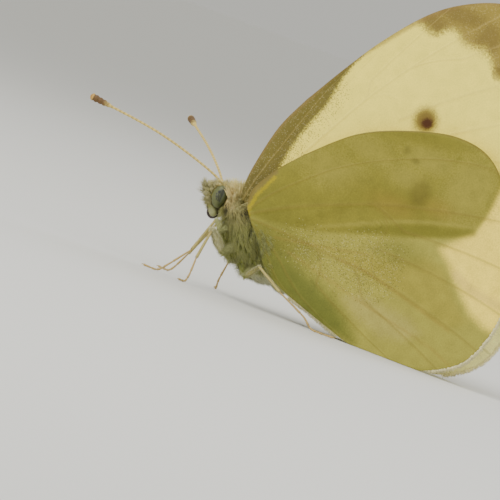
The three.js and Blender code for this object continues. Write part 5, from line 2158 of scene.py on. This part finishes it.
@dataclass(frozen=True)
class Studio:
    """The floor, the lights and the camera."""

    azimuth: float = 20.0
    elevation: float = 2.0
    roll: float = 20.2
    distance: float = 0.496
    lens: float = 500.0
    sensor: float = 36.0
    target: Point = (6.9, 0.0, 3.68)
    floor_tint: str = "#d9d8d2"
    world_tint: str = "#dcdcd8"
    world_strength: float = 1.1
    backdrop_tint: str = "#dcdbd3"
    backdrop_strength: float = 0.8
    lamps: tuple[Lamp, ...] = (
        Lamp("key", (-0.4, -0.9, 1.3), 0.3, 0.8),
        Lamp("fill", (1.2, -0.8, 0.7), 0.35, 0.4),
        Lamp("low", (-0.7, -1.0, 0.08), 0.2, 0.45),
        Lamp("back", (0.5, 1.0, 1.0), 0.3, 0.5),
    )

    def camera(self, stance: Stance) -> None:
        """Sets the camera, rolled with the surface that the butterfly sat on."""
        turn, lift, roll = (math.radians(angle) for angle in (self.azimuth, self.elevation, self.roll))
        back = Vector((math.sin(turn) * math.cos(lift), -math.cos(turn) * math.cos(lift), math.sin(lift)))
        level = Vector((math.cos(turn), math.sin(turn), 0))
        up = back.cross(level)
        right = level * math.cos(roll) + up * math.sin(roll)
        top = up * math.cos(roll) - level * math.sin(roll)
        data = bpy.data.cameras.new("camera")
        data.lens, data.sensor_width = self.lens, self.sensor
        data.clip_start, data.clip_end = 0.01, 10.0
        camera = linked("camera", data)
        spot = stance.matrix @ Vector(self.target) + back * self.distance
        axes = Matrix((right, top, back)).transposed().to_4x4()
        camera.matrix_world = Matrix.Translation(spot) @ axes
        bpy.context.scene.camera = camera

    def floor(self) -> None:
        """Lays a plain pale floor."""
        bm = bmesh.new()
        bmesh.ops.create_grid(bm, x_segments=4, y_segments=4, size=4.0)
        mesh = bpy.data.meshes.new("studio_floor")
        bm.to_mesh(mesh)
        bm.free()
        material, shade = Shade.on_material("studio floor")
        shade.surface({"Base Color": colour(self.floor_tint), "Roughness": 0.9, "Specular IOR Level": 0.1})
        mesh.materials.append(material)
        linked("studio_floor", mesh)

    def build(self, stance: Stance) -> None:
        """Builds the studio."""
        self.camera(stance)
        self.floor()
        for lamp in self.lamps:
            lamp.hang(stance.matrix @ Vector(self.target))
        world = bpy.data.worlds.new("studio")
        bpy.context.scene.world = world
        world.use_nodes = True
        shade = Shade(world.node_tree)
        glow = {"Color": colour(self.world_tint), "Strength": self.world_strength}
        seen = {"Color": colour(self.backdrop_tint), "Strength": self.backdrop_strength}
        light, backdrop = (shade.node("ShaderNodeBackground", inputs).outputs[0] for inputs in (glow, seen))
        is_seen = shade.node("ShaderNodeLightPath").outputs["Is Camera Ray"]
        both = shade.node("ShaderNodeMixShader", {0: is_seen, 1: light, 2: backdrop})
        shade.node("ShaderNodeOutputWorld", {"Surface": both.outputs[0]})


def main() -> None:
    """Builds the studio and the butterfly."""
    logging.basicConfig(level=logging.INFO, format="%(name)s %(message)s")
    stance = Stance.from_frame()
    effects = Effects()
    Studio().build(stance)
    paints = Paints.mixed(effects, stance)
    Body(coxae=COXAE).build(paints, stance)
    for side in Side:
        fore = {"plan": FORE_PLAN, "veins": FORE_VEINS, "cell": ("R4+5", "M3"), "finish": FORE_FINISH}
        Wing("forewing", side, **fore, blade=0.52, hinge=1.15, flare=3.5, fringe_from=0.55).build(effects, stance)
        hind = {"plan": HIND_PLAN, "veins": HIND_VEINS, "cell": ("Rs", "M3"), "finish": HIND_FINISH}
        hindwing = Wing("hindwing", side, **hind, blade=1.56, hinge=2.25, flare=4.0, bulge=0.45)
        hindwing.build(effects, stance)
        hindwing.build_root_hair(RootHair(ROOT_FAN), paints.hair, stance)
        Eye(side).build(effects, stance)
        Palp(side).build(paints, stance)
    Antenna(Side.LEFT, (-1.6, -2.5, 9.25), (-6.9, -4.5, 10.1)).build(effects, stance)
    Antenna(Side.RIGHT, (0.3, 2.9, 9.3), (-3.9, 8.0, 10.85)).build(effects, stance)
    Proboscis().build(effects, stance)
    for plan in LEG_PLANS:
        Leg(plan).build(paints, stance)


if __name__ == "__main__":
    main()
